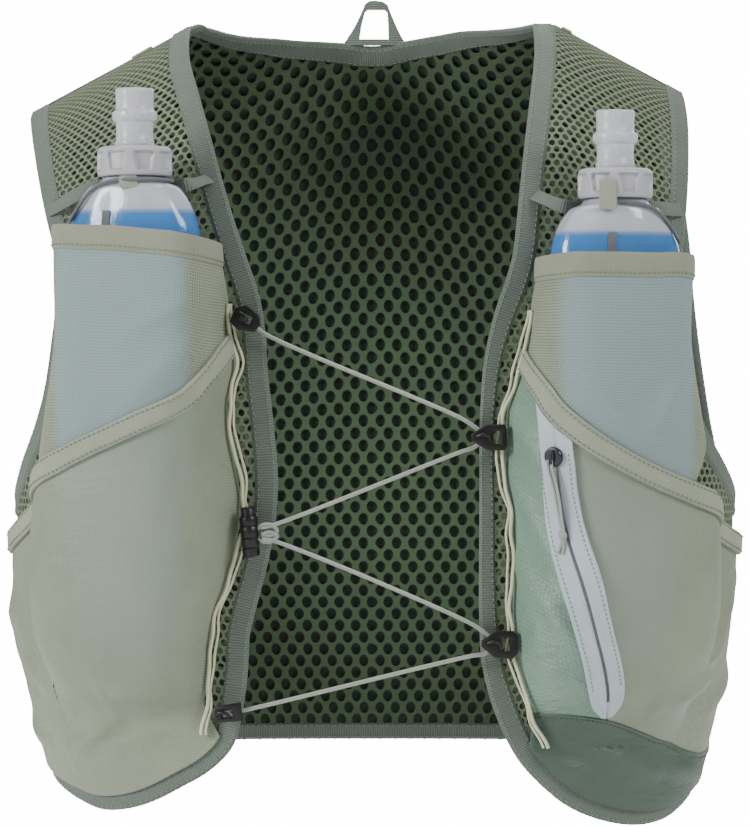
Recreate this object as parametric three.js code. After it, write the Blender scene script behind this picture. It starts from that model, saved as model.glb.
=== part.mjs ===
// Running hydration vest with two soft flasks in its chest pockets, laced across the front.
// Millimetres, +Z up. The front faces -Y and the viewer's left is -X.
// The origin lies midway between the shoulder straps, level with where they rest beside the neck.
import * as THREE from 'three';

// Driving dimensions of the body form that the cloth follows
const chestHalfWidth = 190;
const chestFrontDepth = 114;
const chestBackDepth = 106;
const frontDrop = 400;
const frontArch = 150;
const backArch = 55;
const shoulderFlat = 96;
const shoulderSlope = 0.55;
const shoulderRise = 6;
const shoulderFade = 300;
const napeRise = 30;
const napeHalfWidth = 85;
const bodySquareness = 2.6;

// Cloth, edging and cord sizes
const netThick = 1.2;
const meshThick = 2.4;
const coverThick = 1.4;
const pocketThick = 1.4;
const rimThick = 2.0;
const rimHeight = 12;
const bindingWidth = 11.5;
const bindingThick = 2.8;
const armBindingWidth = 11;
const hemBindingWidth = 9;
const tapeWidth = 10.5;
const tapeThick = 1.2;
const zipWidth = 17;
const zipThick = 1.3;
const edgeCordDiameter = 2.6;
const laceDiameter = 2.2;
const retentionCordDiameter = 2;
const pullCordDiameter = 1.6;
const layerGap = 0.4;
const overlayGap = 1.4;
const edgeMargin = 1.6;
const armholeMargin = 2.2;
const sideSeamTurn = 100;
const shoulderSeamBehind = 14;

// Flask sizes
const flaskHalfWidth = 36.4;
const flaskSquareness = 2.3;
const flaskHalfDepth = 18.5;
const flaskLength = 256;
const flaskYaw = 18;
const flaskTurn = 30.5;
const pocketBulge = 45;
const footMargin = 1.25;
const footSoftness = 1.25;
const capRadius = 18.8;
const capHeight = 15;
const valveLength = 29;
const valveRadius = 9.9;
const valveRingRadius = 11.4;
const capGap = 0.3;
const neckStrapWidth = 7;
const neckStrapThick = 1;

// Hardware sizes
const clipThick = 3.6;
const lockRadius = 4.6;
const lockLength = 20.5;
const lockWall = 0.9;
const lockBoreDepth = 6.5;
const buttonGap = 0.25;
const buttonLength = 7;
const buttonSeated = 2.2;
const sliderRadius = 5;
const sliderThick = 2;
const loopThick = 1.4;

// Widths and depths of the body form, as shares of the chest sizes, down the front drop
const BODY = [
  { down: 0.00, wide: 1.03, front: 0.99, back: 0.98 },
  { down: 0.25, wide: 1.02, front: 1.01, back: 1.02 },
  { down: 0.50, wide: 1.00, front: 1.00, back: 0.98 },
  { down: 0.70, wide: 0.99, front: 0.955, back: 0.93 },
  { down: 0.86, wide: 0.95, front: 0.93, back: 0.90 },
  { down: 1.03, wide: 0.86, front: 0.88, back: 0.87 },
];

// Edges of the cloth: down is a share of the front drop, and below zero it lies behind the shoulder.
// Turn is in degrees round the body from the middle of the front. Wide is a share of the binding's width.
const FRONT_EDGE_LEFT = [
  { down: 0, turn: 25.5, wide: 1 }, { down: 0.05, turn: 25.3, wide: 1 }, { down: 0.10, turn: 23.6, wide: 1 },
  { down: 0.155, turn: 21.5, wide: 1 }, { down: 0.20, turn: 19.9, wide: 1 }, { down: 0.27, turn: 17.3, wide: 1 },
  { down: 0.31, turn: 15.7, wide: 1 }, { down: 0.36, turn: 13.8, wide: 1 }, { down: 0.40, turn: 13.1, wide: 1 },
  { down: 0.45, turn: 12.8, wide: 1 }, { down: 0.52, turn: 12.0, wide: 1 }, { down: 0.58, turn: 11.5, wide: 1 },
  { down: 0.63, turn: 11.8, wide: 1 }, { down: 0.69, turn: 13.1, wide: 1 }, { down: 0.74, turn: 14.8, wide: 1 },
  { down: 0.78, turn: 16.1, wide: 1 }, { down: 0.83, turn: 16.8, wide: 1 }, { down: 0.88, turn: 18.2, wide: 1 },
  { down: 0.915, turn: 20.0, wide: 1 }, { down: 0.942, turn: 24.2, wide: 1 }, { down: 0.962, turn: 30.0, wide: 1 },
  { down: 0.982, turn: 37.5, wide: 1 }, { down: 0.993, turn: 45.0, wide: 1 }, { down: 0.996, turn: 53.0, wide: 1 },
  { down: 0.988, turn: 62.0, wide: 0.95 }, { down: 0.975, turn: 74.0, wide: 0.9 },
  { down: 0.960, turn: 88.0, wide: 0.85 }, { down: 0.950, turn: 99.8, wide: 0.8 },
];
const FRONT_EDGE_RIGHT = [
  { down: 0, turn: 21.0, wide: 1 }, { down: 0.05, turn: 20.9, wide: 1 }, { down: 0.11, turn: 19.9, wide: 1 },
  { down: 0.17, turn: 18.9, wide: 1 }, { down: 0.22, turn: 18.2, wide: 1 }, { down: 0.27, turn: 17.6, wide: 1 },
  { down: 0.31, turn: 17.0, wide: 1 }, { down: 0.34, turn: 16.0, wide: 1 }, { down: 0.37, turn: 14.7, wide: 0.95 },
  { down: 0.40, turn: 13.6, wide: 0.85 }, { down: 0.44, turn: 12.6, wide: 0.75 }, { down: 0.50, turn: 12.0, wide: 0.65 },
  { down: 0.56, turn: 11.9, wide: 0.62 }, { down: 0.62, turn: 12.0, wide: 0.66 }, { down: 0.69, turn: 12.1, wide: 0.7 },
  { down: 0.76, turn: 12.5, wide: 0.8 }, { down: 0.815, turn: 13.3, wide: 0.9 }, { down: 0.86, turn: 15.1, wide: 1 },
  { down: 0.905, turn: 17.9, wide: 1 }, { down: 0.935, turn: 20.8, wide: 1 }, { down: 0.965, turn: 25.6, wide: 1 },
  { down: 0.988, turn: 31.0, wide: 1 }, { down: 1.005, turn: 38.5, wide: 1 }, { down: 1.015, turn: 49.0, wide: 1 },
  { down: 1.012, turn: 61.0, wide: 0.98 }, { down: 0.995, turn: 74.0, wide: 0.95 },
  { down: 0.972, turn: 88.0, wide: 0.85 }, { down: 0.950, turn: 99.8, wide: 0.8 },
];
// The armholes run from the shoulder down the front, under the arm and up the back.
const ARMHOLE_LEFT = [
  { down: 0, turn: 61.8 }, { down: 0.015, turn: 61.5 }, { down: 0.05, turn: 60.3 },
  { down: 0.10, turn: 58.4 }, { down: 0.15, turn: 56.4 },
  { down: 0.20, turn: 54.2 }, { down: 0.256, turn: 51.6 }, { down: 0.30, turn: 51.0 }, { down: 0.34, turn: 51.5 },
  { down: 0.39, turn: 53.4 }, { down: 0.46, turn: 57.0 }, { down: 0.515, turn: 62.5 }, { down: 0.56, turn: 70.0 },
  { down: 0.60, turn: 79.0 }, { down: 0.622, turn: 90.0 }, { down: 0.60, turn: 101.0 }, { down: 0.54, turn: 109.0 },
  { down: 0.44, turn: 116.0 }, { down: 0.33, turn: 121.0 }, { down: 0.22, turn: 123.0 },
];
const ARMHOLE_RIGHT = [
  { down: 0, turn: 49.4 }, { down: 0.015, turn: 49.4 }, { down: 0.06, turn: 49.7 },
  { down: 0.13, turn: 49.3 }, { down: 0.19, turn: 48.6 },
  { down: 0.25, turn: 47.6 }, { down: 0.31, turn: 47.0 }, { down: 0.37, turn: 47.6 }, { down: 0.44, turn: 50.8 },
  { down: 0.495, turn: 55.2 }, { down: 0.53, turn: 60.0 }, { down: 0.565, turn: 68.0 }, { down: 0.60, turn: 79.0 },
  { down: 0.622, turn: 90.0 }, { down: 0.60, turn: 101.0 }, { down: 0.54, turn: 109.0 },
  { down: 0.44, turn: 116.0 }, { down: 0.33, turn: 121.0 }, { down: 0.22, turn: 124.0 },
];
// The upper back stretch of each armhole, counted from the middle of the back
const ARMHOLE_BACK_LEFT = [{ down: -0.13, turn: 57.5 }, { down: -0.06, turn: 59.5 }, { down: -0.015, turn: 61.2 }];
const ARMHOLE_BACK_RIGHT = [{ down: -0.13, turn: 53.0 }, { down: -0.06, turn: 50.5 }, { down: -0.015, turn: 49.6 }];
// Half of the back neckline: across is a share of the turn at which the front edge reaches the shoulder
const NECKLINE = [
  { down: -0.0763, across: 0 }, { down: -0.066, across: 0.12 }, { down: -0.045, across: 0.31 },
  { down: -0.024, across: 0.50 }, { down: -0.0115, across: 0.68 }, { down: -0.004, across: 0.84 },
  { down: 0, across: 1 },
];
const backHemDown = 0.941;

// Pocket lines: rims, diagonal tapes, front edge cords, the zip and the bottom flap
const RIM_LEFT = [
  { down: 0.234, turn: 46.6 }, { down: 0.240, turn: 43 }, { down: 0.252, turn: 37 }, { down: 0.262, turn: 31.5 },
  { down: 0.273, turn: 27 }, { down: 0.285, turn: 22 }, { down: 0.292, turn: 18.8 },
];
const RIM_RIGHT = [
  { down: 0.281, turn: 45.2 }, { down: 0.285, turn: 39 }, { down: 0.293, turn: 34 }, { down: 0.300, turn: 28.5 },
  { down: 0.305, turn: 24.5 }, { down: 0.308, turn: 21.4 }, { down: 0.310, turn: 19.8 },
];
const TAPE_LEFT = [
  { down: 0.422, turn: 18.6 }, { down: 0.450, turn: 20.4 }, { down: 0.488, turn: 24.0 }, { down: 0.512, turn: 29.5 },
  { down: 0.534, turn: 36.0 }, { down: 0.553, turn: 43.0 }, { down: 0.574, turn: 50.0 }, { down: 0.600, turn: 57.0 },
  { down: 0.630, turn: 64.0 }, { down: 0.652, turn: 73.0 }, { down: 0.668, turn: 85.0 }, { down: 0.675, turn: 99.6 },
];
const TAPE_RIGHT = [
  { down: 0.442, turn: 19.2 }, { down: 0.470, turn: 20.2 }, { down: 0.500, turn: 21.4 }, { down: 0.530, turn: 25.4 },
  { down: 0.556, turn: 30.4 }, { down: 0.578, turn: 36.4 }, { down: 0.596, turn: 44.0 }, { down: 0.614, turn: 52.0 },
  { down: 0.636, turn: 60.0 }, { down: 0.655, turn: 68.0 }, { down: 0.668, turn: 80.0 }, { down: 0.675, turn: 99.6 },
];
const EDGE_CORD_LEFT = [
  { down: 0.366, turn: 16.4 }, { down: 0.403, turn: 16.4 }, { down: 0.439, turn: 15.4 }, { down: 0.468, turn: 16.0 },
  { down: 0.489, turn: 16.6 }, { down: 0.533, turn: 16.3 }, { down: 0.574, turn: 15.2 }, { down: 0.617, turn: 14.4 },
  { down: 0.659, turn: 15.2 }, { down: 0.706, turn: 16.9 }, { down: 0.746, turn: 18.9 }, { down: 0.786, turn: 20.3 },
  { down: 0.823, turn: 20.8 }, { down: 0.860, turn: 21.6 }, { down: 0.905, turn: 23.2 },
];
const EDGE_CORD_RIGHT = [
  { down: 0.374, turn: 17.9 }, { down: 0.414, turn: 17.3 }, { down: 0.456, turn: 16.0 }, { down: 0.495, turn: 14.4 },
  { down: 0.549, turn: 13.9 }, { down: 0.603, turn: 14.8 }, { down: 0.672, turn: 15.7 }, { down: 0.740, turn: 15.5 },
  { down: 0.775, turn: 15.8 }, { down: 0.812, turn: 16.6 }, { down: 0.851, turn: 18.4 }, { down: 0.889, turn: 20.6 },
  { down: 0.922, turn: 23.4 },
];
const ZIP = [
  { down: 0.539, turn: 21.6, wide: 1 }, { down: 0.560, turn: 21.9, wide: 1 }, { down: 0.609, turn: 22.9, wide: 1 },
  { down: 0.685, turn: 24.8, wide: 1 }, { down: 0.772, turn: 27.8, wide: 1 }, { down: 0.840, turn: 31.2, wide: 1 },
  { down: 0.858, turn: 32.2, wide: 0.8 }, { down: 0.872, turn: 33.0, wide: 0.3 },
];
const FLAP_TOP = [
  { down: 0.882, turn: 20.6 }, { down: 0.877, turn: 24 }, { down: 0.878, turn: 29 }, { down: 0.886, turn: 35 },
  { down: 0.902, turn: 42.5 }, { down: 0.920, turn: 51.5 }, { down: 0.936, turn: 61 }, { down: 0.945, turn: 74 },
  { down: 0.936, turn: 88 }, { down: 0.918, turn: 99.6 },
];

// How the pockets stand out over the flasks: inner and outer are turns, high is a share of the pocket bulge,
// and square says how steeply the sides rise.
const BULGE_LEFT = [
  { down: 0.15, inner: 18.6, outer: 47.4, high: 1.00, square: 9 },
  { down: 0.30, inner: 18.4, outer: 47.2, high: 1.00, square: 9 },
  { down: 0.40, inner: 16.6, outer: 49, high: 1.00, square: 6.5 },
  { down: 0.50, inner: 16.2, outer: 54, high: 0.99, square: 5.2 },
  { down: 0.62, inner: 15.8, outer: 60, high: 0.95, square: 4.8 },
  { down: 0.74, inner: 18.0, outer: 61, high: 0.90, square: 6.5 },
  { down: 0.82, inner: 18.5, outer: 60, high: 0.66, square: 6 },
  { down: 0.875, inner: 20.5, outer: 58, high: 0.16, square: 3.4 },
  { down: 0.91, inner: 22.5, outer: 58, high: 0.00, square: 2.4 },
];
const BULGE_RIGHT = [
  { down: 0.15, inner: 19.0, outer: 46.4, high: 1.00, square: 9 },
  { down: 0.30, inner: 18.8, outer: 46.2, high: 1.00, square: 9 },
  { down: 0.40, inner: 17.2, outer: 47.4, high: 1.00, square: 6.5 },
  { down: 0.50, inner: 15.4, outer: 53, high: 0.99, square: 5.2 },
  { down: 0.62, inner: 15.6, outer: 60, high: 0.95, square: 4.8 },
  { down: 0.74, inner: 16.6, outer: 61, high: 0.91, square: 6.5 },
  { down: 0.84, inner: 18.4, outer: 60, high: 0.68, square: 6 },
  { down: 0.895, inner: 21.0, outer: 58, high: 0.16, square: 3.4 },
  { down: 0.92, inner: 22.5, outer: 58, high: 0.00, square: 2.4 },
];

// A soft flask from its neck down: shares of its length, half width and half depth, and how far its middle stands out
const FLASK = [
  { down: 0.000, wide: 0.42, deep: 0.80, out: 1 }, { down: 0.012, wide: 0.50, deep: 0.86, out: 1 },
  { down: 0.020, wide: 0.64, deep: 0.92, out: 1 }, { down: 0.070, wide: 0.86, deep: 0.98, out: 1 },
  { down: 0.115, wide: 0.94, deep: 1.00, out: 1 }, { down: 0.25, wide: 0.97, deep: 1.00, out: 1 },
  { down: 0.42, wide: 0.96, deep: 1.00, out: 1 }, { down: 0.60, wide: 0.90, deep: 0.96, out: 0.98 },
  { down: 0.76, wide: 0.79, deep: 0.84, out: 0.90 }, { down: 0.88, wide: 0.66, deep: 0.60, out: 0.74 },
  { down: 0.95, wide: 0.54, deep: 0.36, out: 0.56 }, { down: 1.000, wide: 0.38, deep: 0.12, out: 0.42 },
];

const LEFT = {
  name: 'left', sign: -1, edge: FRONT_EDGE_LEFT, armhole: ARMHOLE_LEFT, armholeBack: ARMHOLE_BACK_LEFT,
  rim: RIM_LEFT, tape: TAPE_LEFT, cord: EDGE_CORD_LEFT, bulge: BULGE_LEFT, neckTop: -81.5, flaskFoot: .84375,
  pocketFoot: { down: 0.418, turn: 17.4 }, innerFrom: 0.33,
  pocketSide: [{ down: 0.33, turn: 46.8 }, { down: 0.40, turn: 48.2 }, { down: 0.48, turn: 49.9 }],
  pocketOuterTurn: 50.5,
  retention: [
    { share: 0.085, angle: -62, out: 0 }, { share: 0.05, angle: -48, out: 0 }, { share: 0.022, angle: -35, out: 0 },
    { share: 0.009, angle: -10, out: 1 }, { share: 0.007, angle: 25, out: 1 }, { share: 0.007, angle: 62, out: 1 },
    { share: 0.007, angle: 100, out: 1 },
  ],
  strap: { outerTurn: 54.6, outerDown: 0.195, innerTurn: 19.6, innerDown: 0.212 },
  tab: { turn: 33, down: 0.004, width: 12, height: 6, spin: 12 },
};
const RIGHT = {
  name: 'right', sign: 1, edge: FRONT_EDGE_RIGHT, armhole: ARMHOLE_RIGHT, armholeBack: ARMHOLE_BACK_RIGHT,
  rim: RIM_RIGHT, tape: TAPE_RIGHT, cord: EDGE_CORD_RIGHT, bulge: BULGE_RIGHT, neckTop: -92.5, flaskFoot: .87125,
  pocketFoot: { down: 0.433, turn: 18.0 }, innerFrom: 0.37,
  pocketSide: [{ down: 0.34, turn: 45.0 }, { down: 0.40, turn: 45.9 }, { down: 0.48, turn: 47.0 }],
  pocketOuterTurn: 44.1,
  retention: [
    { share: 0.085, angle: 62, out: 0 }, { share: 0.05, angle: 50, out: 0 }, { share: 0.022, angle: 35, out: 0 },
    { share: 0.008, angle: 5, out: 1 }, { share: 0.008, angle: -40, out: 1 },
  ],
  strap: { outerTurn: 48.6, outerDown: 0.205, innerTurn: 18.6, innerDown: 0.232 },
  tab: { turn: 25, down: 0.004, width: 6, height: 5, spin: -12 },
};
const SIDES = [LEFT, RIGHT];

// Clips of the front lacing: where each sits, and its outline in millimetres from its middle
const CLIPS = [
  {
    name: 'clip_upper_left', turn: -13.7, down: 0.385, spin: -24,
    outline: [[-7.5, -4.5], [-2, -6.5], [6, -4.5], [7.5, 0], [5, 4.5], [-3, 6.5], [-7.5, 3]],
    hole: [[-3.5, -2], [2.5, -2], [2.5, 2], [-3.5, 2.5]],
  },
  {
    name: 'clip_upper_right', turn: 11.9, down: 0.530, spin: 0,
    outline: [[-9, 1.5], [-1, 6.5], [8, 6.5], [9, 4], [9, -4], [8, -6.5], [-1, -6.5], [-9, -1.5]],
    hole: [[1.5, -3.5], [6, -3.5], [6, 3.5], [1.5, 3.5]],
    bend: [[-14, 9.6], [-7, 5.2], [-4.5, 3.2], [-3.6, 0], [-4.5, -3.2], [-7, -5.2], [-14, -7.6]],
  },
  {
    name: 'clip_lower_right', turn: 13.9, down: 0.790, spin: 0,
    outline: [[-9, 1.5], [-2, 6.8], [7, 7], [9, 4], [9, -4], [7, -7], [-2, -6.8], [-9, -1.5]],
    hole: [[1, -3.5], [5.5, -3.5], [5.5, 3.5], [1, 3.5]],
    bend: [[-14, 9.6], [-7, 5.2], [-4.5, 3.2], [-3.6, 0], [-4.5, -3.2], [-7, -5.2], [-14, -6.6]],
  },
  {
    name: 'clip_lower_left', turn: -18.1, down: 0.877, spin: 6,
    outline: [[-7.5, -3.2], [7, -4.8], [7.5, 4.6], [-6, 4.6]],
    hole: [[-3, -1.6], [2.5, -1.8], [2.5, 1.8], [-2.5, 1.8]],
  },
];
const LOCK = { turn: -13.5, down: 0.653, spin: 4 };
// The zip's slider, and its cord pull from the slider's middle, in millimetres
const sliderPlace = { turn: 21.8, down: 0.552 };
const PULL_CORD = [
  [-2.5, -1.5, 0], [-1.5, -6, 0.4], [1, -13, 0.2], [3.5, -22, 0], [6.2, -32, 0], [8, -38, 0], [8.6, -45, 0], [8.2, -48, 0],
];
// The hanging loop's outline, in millimetres from the foot of the loop
const HANG_LOOP = [[-18, 0], [17.6, 0], [7.6, 20], [5, 22], [-2.5, 23], [-5, 21.5]];
const HANG_LOOP_HOLE = [[-8.5, 1.6], [-5.8, 17], [6.8, 17], [7.4, 1.6]];

const colour = {
  net: '#8a9880', binding: '#76837a', mesh: '#3a4a36', cover: '#26302a', pocket: '#9fa995', rim: '#a5a98f',
  ripstop: '#7f9a8a', flap: '#5f7668', zip: '#b3bec6', cream: '#e8ead0', lace: '#b4bab0', plastic: '#2b282b',
  cap: '#d0d0d2', valve: '#dcdce0', flask: '#a9c3cf', metal: '#4a4c50', grey: '#8b8f94',
};
const material = (name, roughness = 0.85, metalness = 0) =>
  new THREE.MeshStandardMaterial({ color: colour[name], roughness, metalness });

const vest = new THREE.Group();
function add(name, geometry, skin) {
  const mesh = new THREE.Mesh(geometry, skin);
  mesh.name = name;
  vest.add(mesh);
  return mesh;
}

// Smooth value of one column of a table at a given share down
function column(table, key, down) {
  const last = table.length - 1;
  if (down <= table[0].down) return table[0][key];
  if (down >= table[last].down) return table[last][key];
  let i = 0;
  while (table[i + 1].down < down) i += 1;
  const slope = (j) => {
    const a = table[Math.max(0, j - 1)];
    const b = table[Math.min(last, j + 1)];
    return (b[key] - a[key]) / (b.down - a.down);
  };
  const span = table[i + 1].down - table[i].down;
  const t = (down - table[i].down) / span;
  const ease = t * t * (3 - 2 * t);
  return table[i][key] * (1 - ease) + table[i + 1][key] * ease
    + span * (slope(i) * t * (1 - t) ** 2 - slope(i + 1) * t * t * (1 - t));
}

// The body form: a point at a turn round the body and a drop below the shoulder line
function bodyPoint(turn, drop) {
  const around = THREE.MathUtils.degToRad(Math.abs(turn));
  const isFront = Math.abs(turn) <= 90;
  const share = drop / frontDrop;
  const depth = isFront ? chestFrontDepth * column(BODY, 'front', share) : chestBackDepth * column(BODY, 'back', share);
  const arch = isFront ? frontArch : backArch;
  const swell = drop >= arch ? 1 : Math.sqrt(1 - (1 - drop / arch) ** 2);
  const power = 2 / bodySquareness;
  const x = Math.sign(turn) * chestHalfWidth * column(BODY, 'wide', share) * Math.abs(Math.sin(around)) ** power;
  const y = (isFront ? -1 : 1) * depth * swell * Math.abs(Math.cos(around)) ** power;
  let rise = shoulderRise - shoulderSlope * Math.max(0, Math.abs(x) - shoulderFlat);
  if (!isFront && Math.abs(x) < napeHalfWidth) {
    rise += napeRise * Math.cos((Math.PI / 2) * (x / napeHalfWidth)) ** 2;
  }
  return new THREE.Vector3(x, y, rise * Math.max(0, 1 - drop / shoulderFade) ** 2 - drop);
}

// The drop is followed as a run over the shoulder, so that rows stay even where the form lies flat on top
const archRun = (arch) => (Math.PI / 2) * arch;
function dropOfRun(run, arch) {
  const quarter = archRun(arch);
  return run >= quarter ? arch + run - quarter : arch * (1 - Math.cos(run / arch));
}
function runOfDown(down) {
  const arch = down < 0 ? backArch : frontArch;
  const drop = Math.abs(down) * frontDrop;
  const run = drop >= arch ? archRun(arch) + drop - arch : arch * Math.acos(1 - drop / arch);
  return down < 0 ? -run : run;
}
function clothPoint(side, turn, run) {
  if (run < 0) return bodyPoint((turn < 0 ? -1 : 1) * (180 - Math.abs(turn)), dropOfRun(-run, backArch));
  const drop = dropOfRun(run, frontArch);
  const point = bodyPoint(turn, drop);
  return side ? point.add(bulge(side, turn, drop / frontDrop)) : point;
}
function outward(side, yaw = flaskYaw) {
  const angle = THREE.MathUtils.degToRad(yaw);
  return new THREE.Vector3(side.sign * Math.sin(angle), -Math.cos(angle), 0);
}
// How far a pocket stands off the body, from a foot that keeps clear of the edge cord: straight to the front at its inner side, and along the flask's face beyond
function bulge(side, turn, down) {
  // The pockets' fullness reaches down with the flask: flaskFoot is where the flask ends in the tables above.
  const at = down * side.flaskFoot * frontDrop / (flaskLength - side.neckTop);
  const inner = Math.max(column(side.bulge, 'inner', at), column(side.cord, 'turn', down) + footMargin);
  const outer = column(side.bulge, 'outer', at);
  const across = (Math.abs(turn) - inner) / (outer - inner);
  if (across <= 0 || across >= 1) return new THREE.Vector3();
  const height = pocketBulge * column(side.bulge, 'high', at)
    * (1 - Math.abs(2 * across - 1) ** column(side.bulge, 'square', at)) ** footSoftness;
  return outward(side, flaskYaw * Math.min(1, 2 * across)).multiplyScalar(height);
}
// A place on the cloth, lifted off it along the cloth's own normal
const probeTurn = 0.4;
const probeRun = 1.5;
function clothNormal(side, turn, run) {
  const a = clothPoint(side, turn + probeTurn, run).sub(clothPoint(side, turn - probeTurn, run));
  const d = clothPoint(side, turn, run + probeRun).sub(clothPoint(side, turn, run - probeRun));
  return d.cross(a).normalize();
}
function onCloth(side, turn, run, lift) {
  return clothPoint(side, turn, run).addScaledVector(clothNormal(side, turn, run), lift);
}

// A line on the cloth through a table's rows, as evenly spaced places (turn, run)
const turnLength = 2.6;
function line(table, sign, steps) {
  const points = table.map((row) => new THREE.Vector3(sign * row.turn * turnLength, runOfDown(row.down), row.wide ?? 1));
  const curve = new THREE.CatmullRomCurve3(points, false, 'centripetal');
  return curve.getSpacedPoints(steps).map((p) => ({ turn: p.x / turnLength, run: p.y, wide: p.z }));
}
// The same line moved sideways along the cloth by a distance in millimetres
function besideLine(places, side, distance) {
  return places.map((place, i) => {
    const before = places[Math.max(0, i - 1)];
    const after = places[Math.min(places.length - 1, i + 1)];
    const ahead = clothPoint(side, after.turn, after.run).sub(clothPoint(side, before.turn, before.run));
    const away = clothNormal(side, place.turn, place.run).cross(ahead).normalize().multiplyScalar(distance);
    const perTurn = clothPoint(side, place.turn + probeTurn, place.run)
      .sub(clothPoint(side, place.turn - probeTurn, place.run)).divideScalar(2 * probeTurn);
    const perRun = clothPoint(side, place.turn, place.run + probeRun)
      .sub(clothPoint(side, place.turn, place.run - probeRun)).divideScalar(2 * probeRun);
    const tt = perTurn.dot(perTurn);
    const tr = perTurn.dot(perRun);
    const rr = perRun.dot(perRun);
    const at = away.dot(perTurn);
    const ar = away.dot(perRun);
    const det = tt * rr - tr * tr;
    return {
      turn: place.turn + (at * rr - ar * tr) / det,
      run: place.run + (ar * tt - at * tr) / det,
      wide: place.wide,
    };
  });
}

function surfaceGeometry(points, faces) {
  const geometry = new THREE.BufferGeometry();
  geometry.setAttribute('position', new THREE.Float32BufferAttribute(points.flatMap((p) => [p.x, p.y, p.z]), 3));
  geometry.setIndex(faces);
  return geometry;
}

// A wall of cloth from a grid of outer and inner points, with the gaps that isGap names cut through it
function wall(outer, inner, isGap = () => false) {
  const rows = outer.length;
  const cols = outer[0].length;
  const points = [...outer.flat(), ...inner.flat()];
  const faces = [];
  const at = (layer, r, c) => layer * rows * cols + r * cols + c;
  const solid = (r, c) => r >= 0 && c >= 0 && r < rows - 1 && c < cols - 1 && !isGap(r, c);
  const quad = (a, b, c, d) => faces.push(a, b, c, a, c, d);
  for (let r = 0; r < rows - 1; r += 1) {
    for (let c = 0; c < cols - 1; c += 1) {
      if (!solid(r, c)) continue;
      quad(at(0, r, c), at(0, r + 1, c), at(0, r + 1, c + 1), at(0, r, c + 1));
      quad(at(1, r, c), at(1, r, c + 1), at(1, r + 1, c + 1), at(1, r + 1, c));
      if (!solid(r - 1, c)) quad(at(0, r, c), at(0, r, c + 1), at(1, r, c + 1), at(1, r, c));
      if (!solid(r + 1, c)) quad(at(0, r + 1, c + 1), at(0, r + 1, c), at(1, r + 1, c), at(1, r + 1, c + 1));
      if (!solid(r, c - 1)) quad(at(0, r + 1, c), at(0, r, c), at(1, r, c), at(1, r + 1, c));
      if (!solid(r, c + 1)) quad(at(0, r, c + 1), at(0, r + 1, c + 1), at(1, r + 1, c + 1), at(1, r, c + 1));
    }
  }
  return outwardFacing(surfaceGeometry(points, faces));
}
// Turns a closed shape's faces to point out if they point in
function outwardFacing(geometry) {
  const p = geometry.getAttribute('position');
  const index = geometry.getIndex().array;
  const [a, b, c] = [new THREE.Vector3(), new THREE.Vector3(), new THREE.Vector3()];
  let volume = 0;
  for (let i = 0; i < index.length; i += 3) {
    a.fromBufferAttribute(p, index[i]);
    b.fromBufferAttribute(p, index[i + 1]);
    c.fromBufferAttribute(p, index[i + 2]);
    volume += a.dot(b.cross(c));
  }
  if (volume < 0) {
    for (let i = 0; i < index.length; i += 3) [index[i + 1], index[i + 2]] = [index[i + 2], index[i + 1]];
  }
  return geometry;
}

// Cloth between two lines of places, walked along by rows and across by columns
function clothBetween(side, lineA, lineB, cols, lift, thick, isGap) {
  const grid = (height) => lineA.map((a, r) => {
    const b = lineB[r];
    const row = [];
    for (let c = 0; c <= cols; c += 1) {
      const t = c / cols;
      row.push(onCloth(side, a.turn + (b.turn - a.turn) * t, a.run + (b.run - a.run) * t, height));
    }
    return row;
  });
  return wall(grid(lift), grid(lift - thick), isGap);
}
// A band of its own width along a line of places
function band(side, places, width, lift, thick, cols = 1) {
  const shifted = (sign) => places.map((place, i) => {
    const window = places.slice(Math.max(0, i - 1), i + 2);
    return besideLine(window, side, (sign * width * place.wide) / 2)[Math.min(i, 1)];
  });
  return clothBetween(side, shifted(-1), shifted(1), cols, lift, thick);
}

// A ribbon through free points, each with the normal of its face
function ribbon(points, normals, width, thick) {
  const curve = new THREE.CatmullRomCurve3(points, false, 'centripetal');
  const faceCurve = new THREE.CatmullRomCurve3(normals, false, 'centripetal');
  const steps = (points.length - 1) * 2;
  const outer = [];
  const inner = [];
  for (let i = 0; i <= steps; i += 1) {
    const p = curve.getPoint(i / steps);
    const n = faceCurve.getPoint(i / steps).normalize();
    const across = curve.getTangent(i / steps).cross(n).normalize().multiplyScalar(width / 2);
    const edges = [p.clone().sub(across), p.clone().add(across)];
    outer.push(edges.map((e) => e.clone().addScaledVector(n, thick / 2)));
    inner.push(edges.map((e) => e.clone().addScaledVector(n, -thick / 2)));
  }
  return wall(outer, inner);
}

// A round cord along chosen points
function cord(points, diameter, spacing = 5) {
  const curve = new THREE.CatmullRomCurve3(points, false, 'centripetal');
  const section = new THREE.Shape();
  const sides = 8;
  for (let i = 0; i < sides; i += 1) {
    const angle = (i / sides) * 2 * Math.PI;
    const [x, y] = [(diameter / 2) * Math.cos(angle), (diameter / 2) * Math.sin(angle)];
    if (i === 0) section.moveTo(x, y);
    else section.lineTo(x, y);
  }
  section.closePath();
  const steps = Math.max(3, Math.round(curve.getLength() / (spacing * diameter)));
  return new THREE.ExtrudeGeometry(section, { steps: Math.min(steps, 80), extrudePath: curve, curveSegments: 1 });
}

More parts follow.
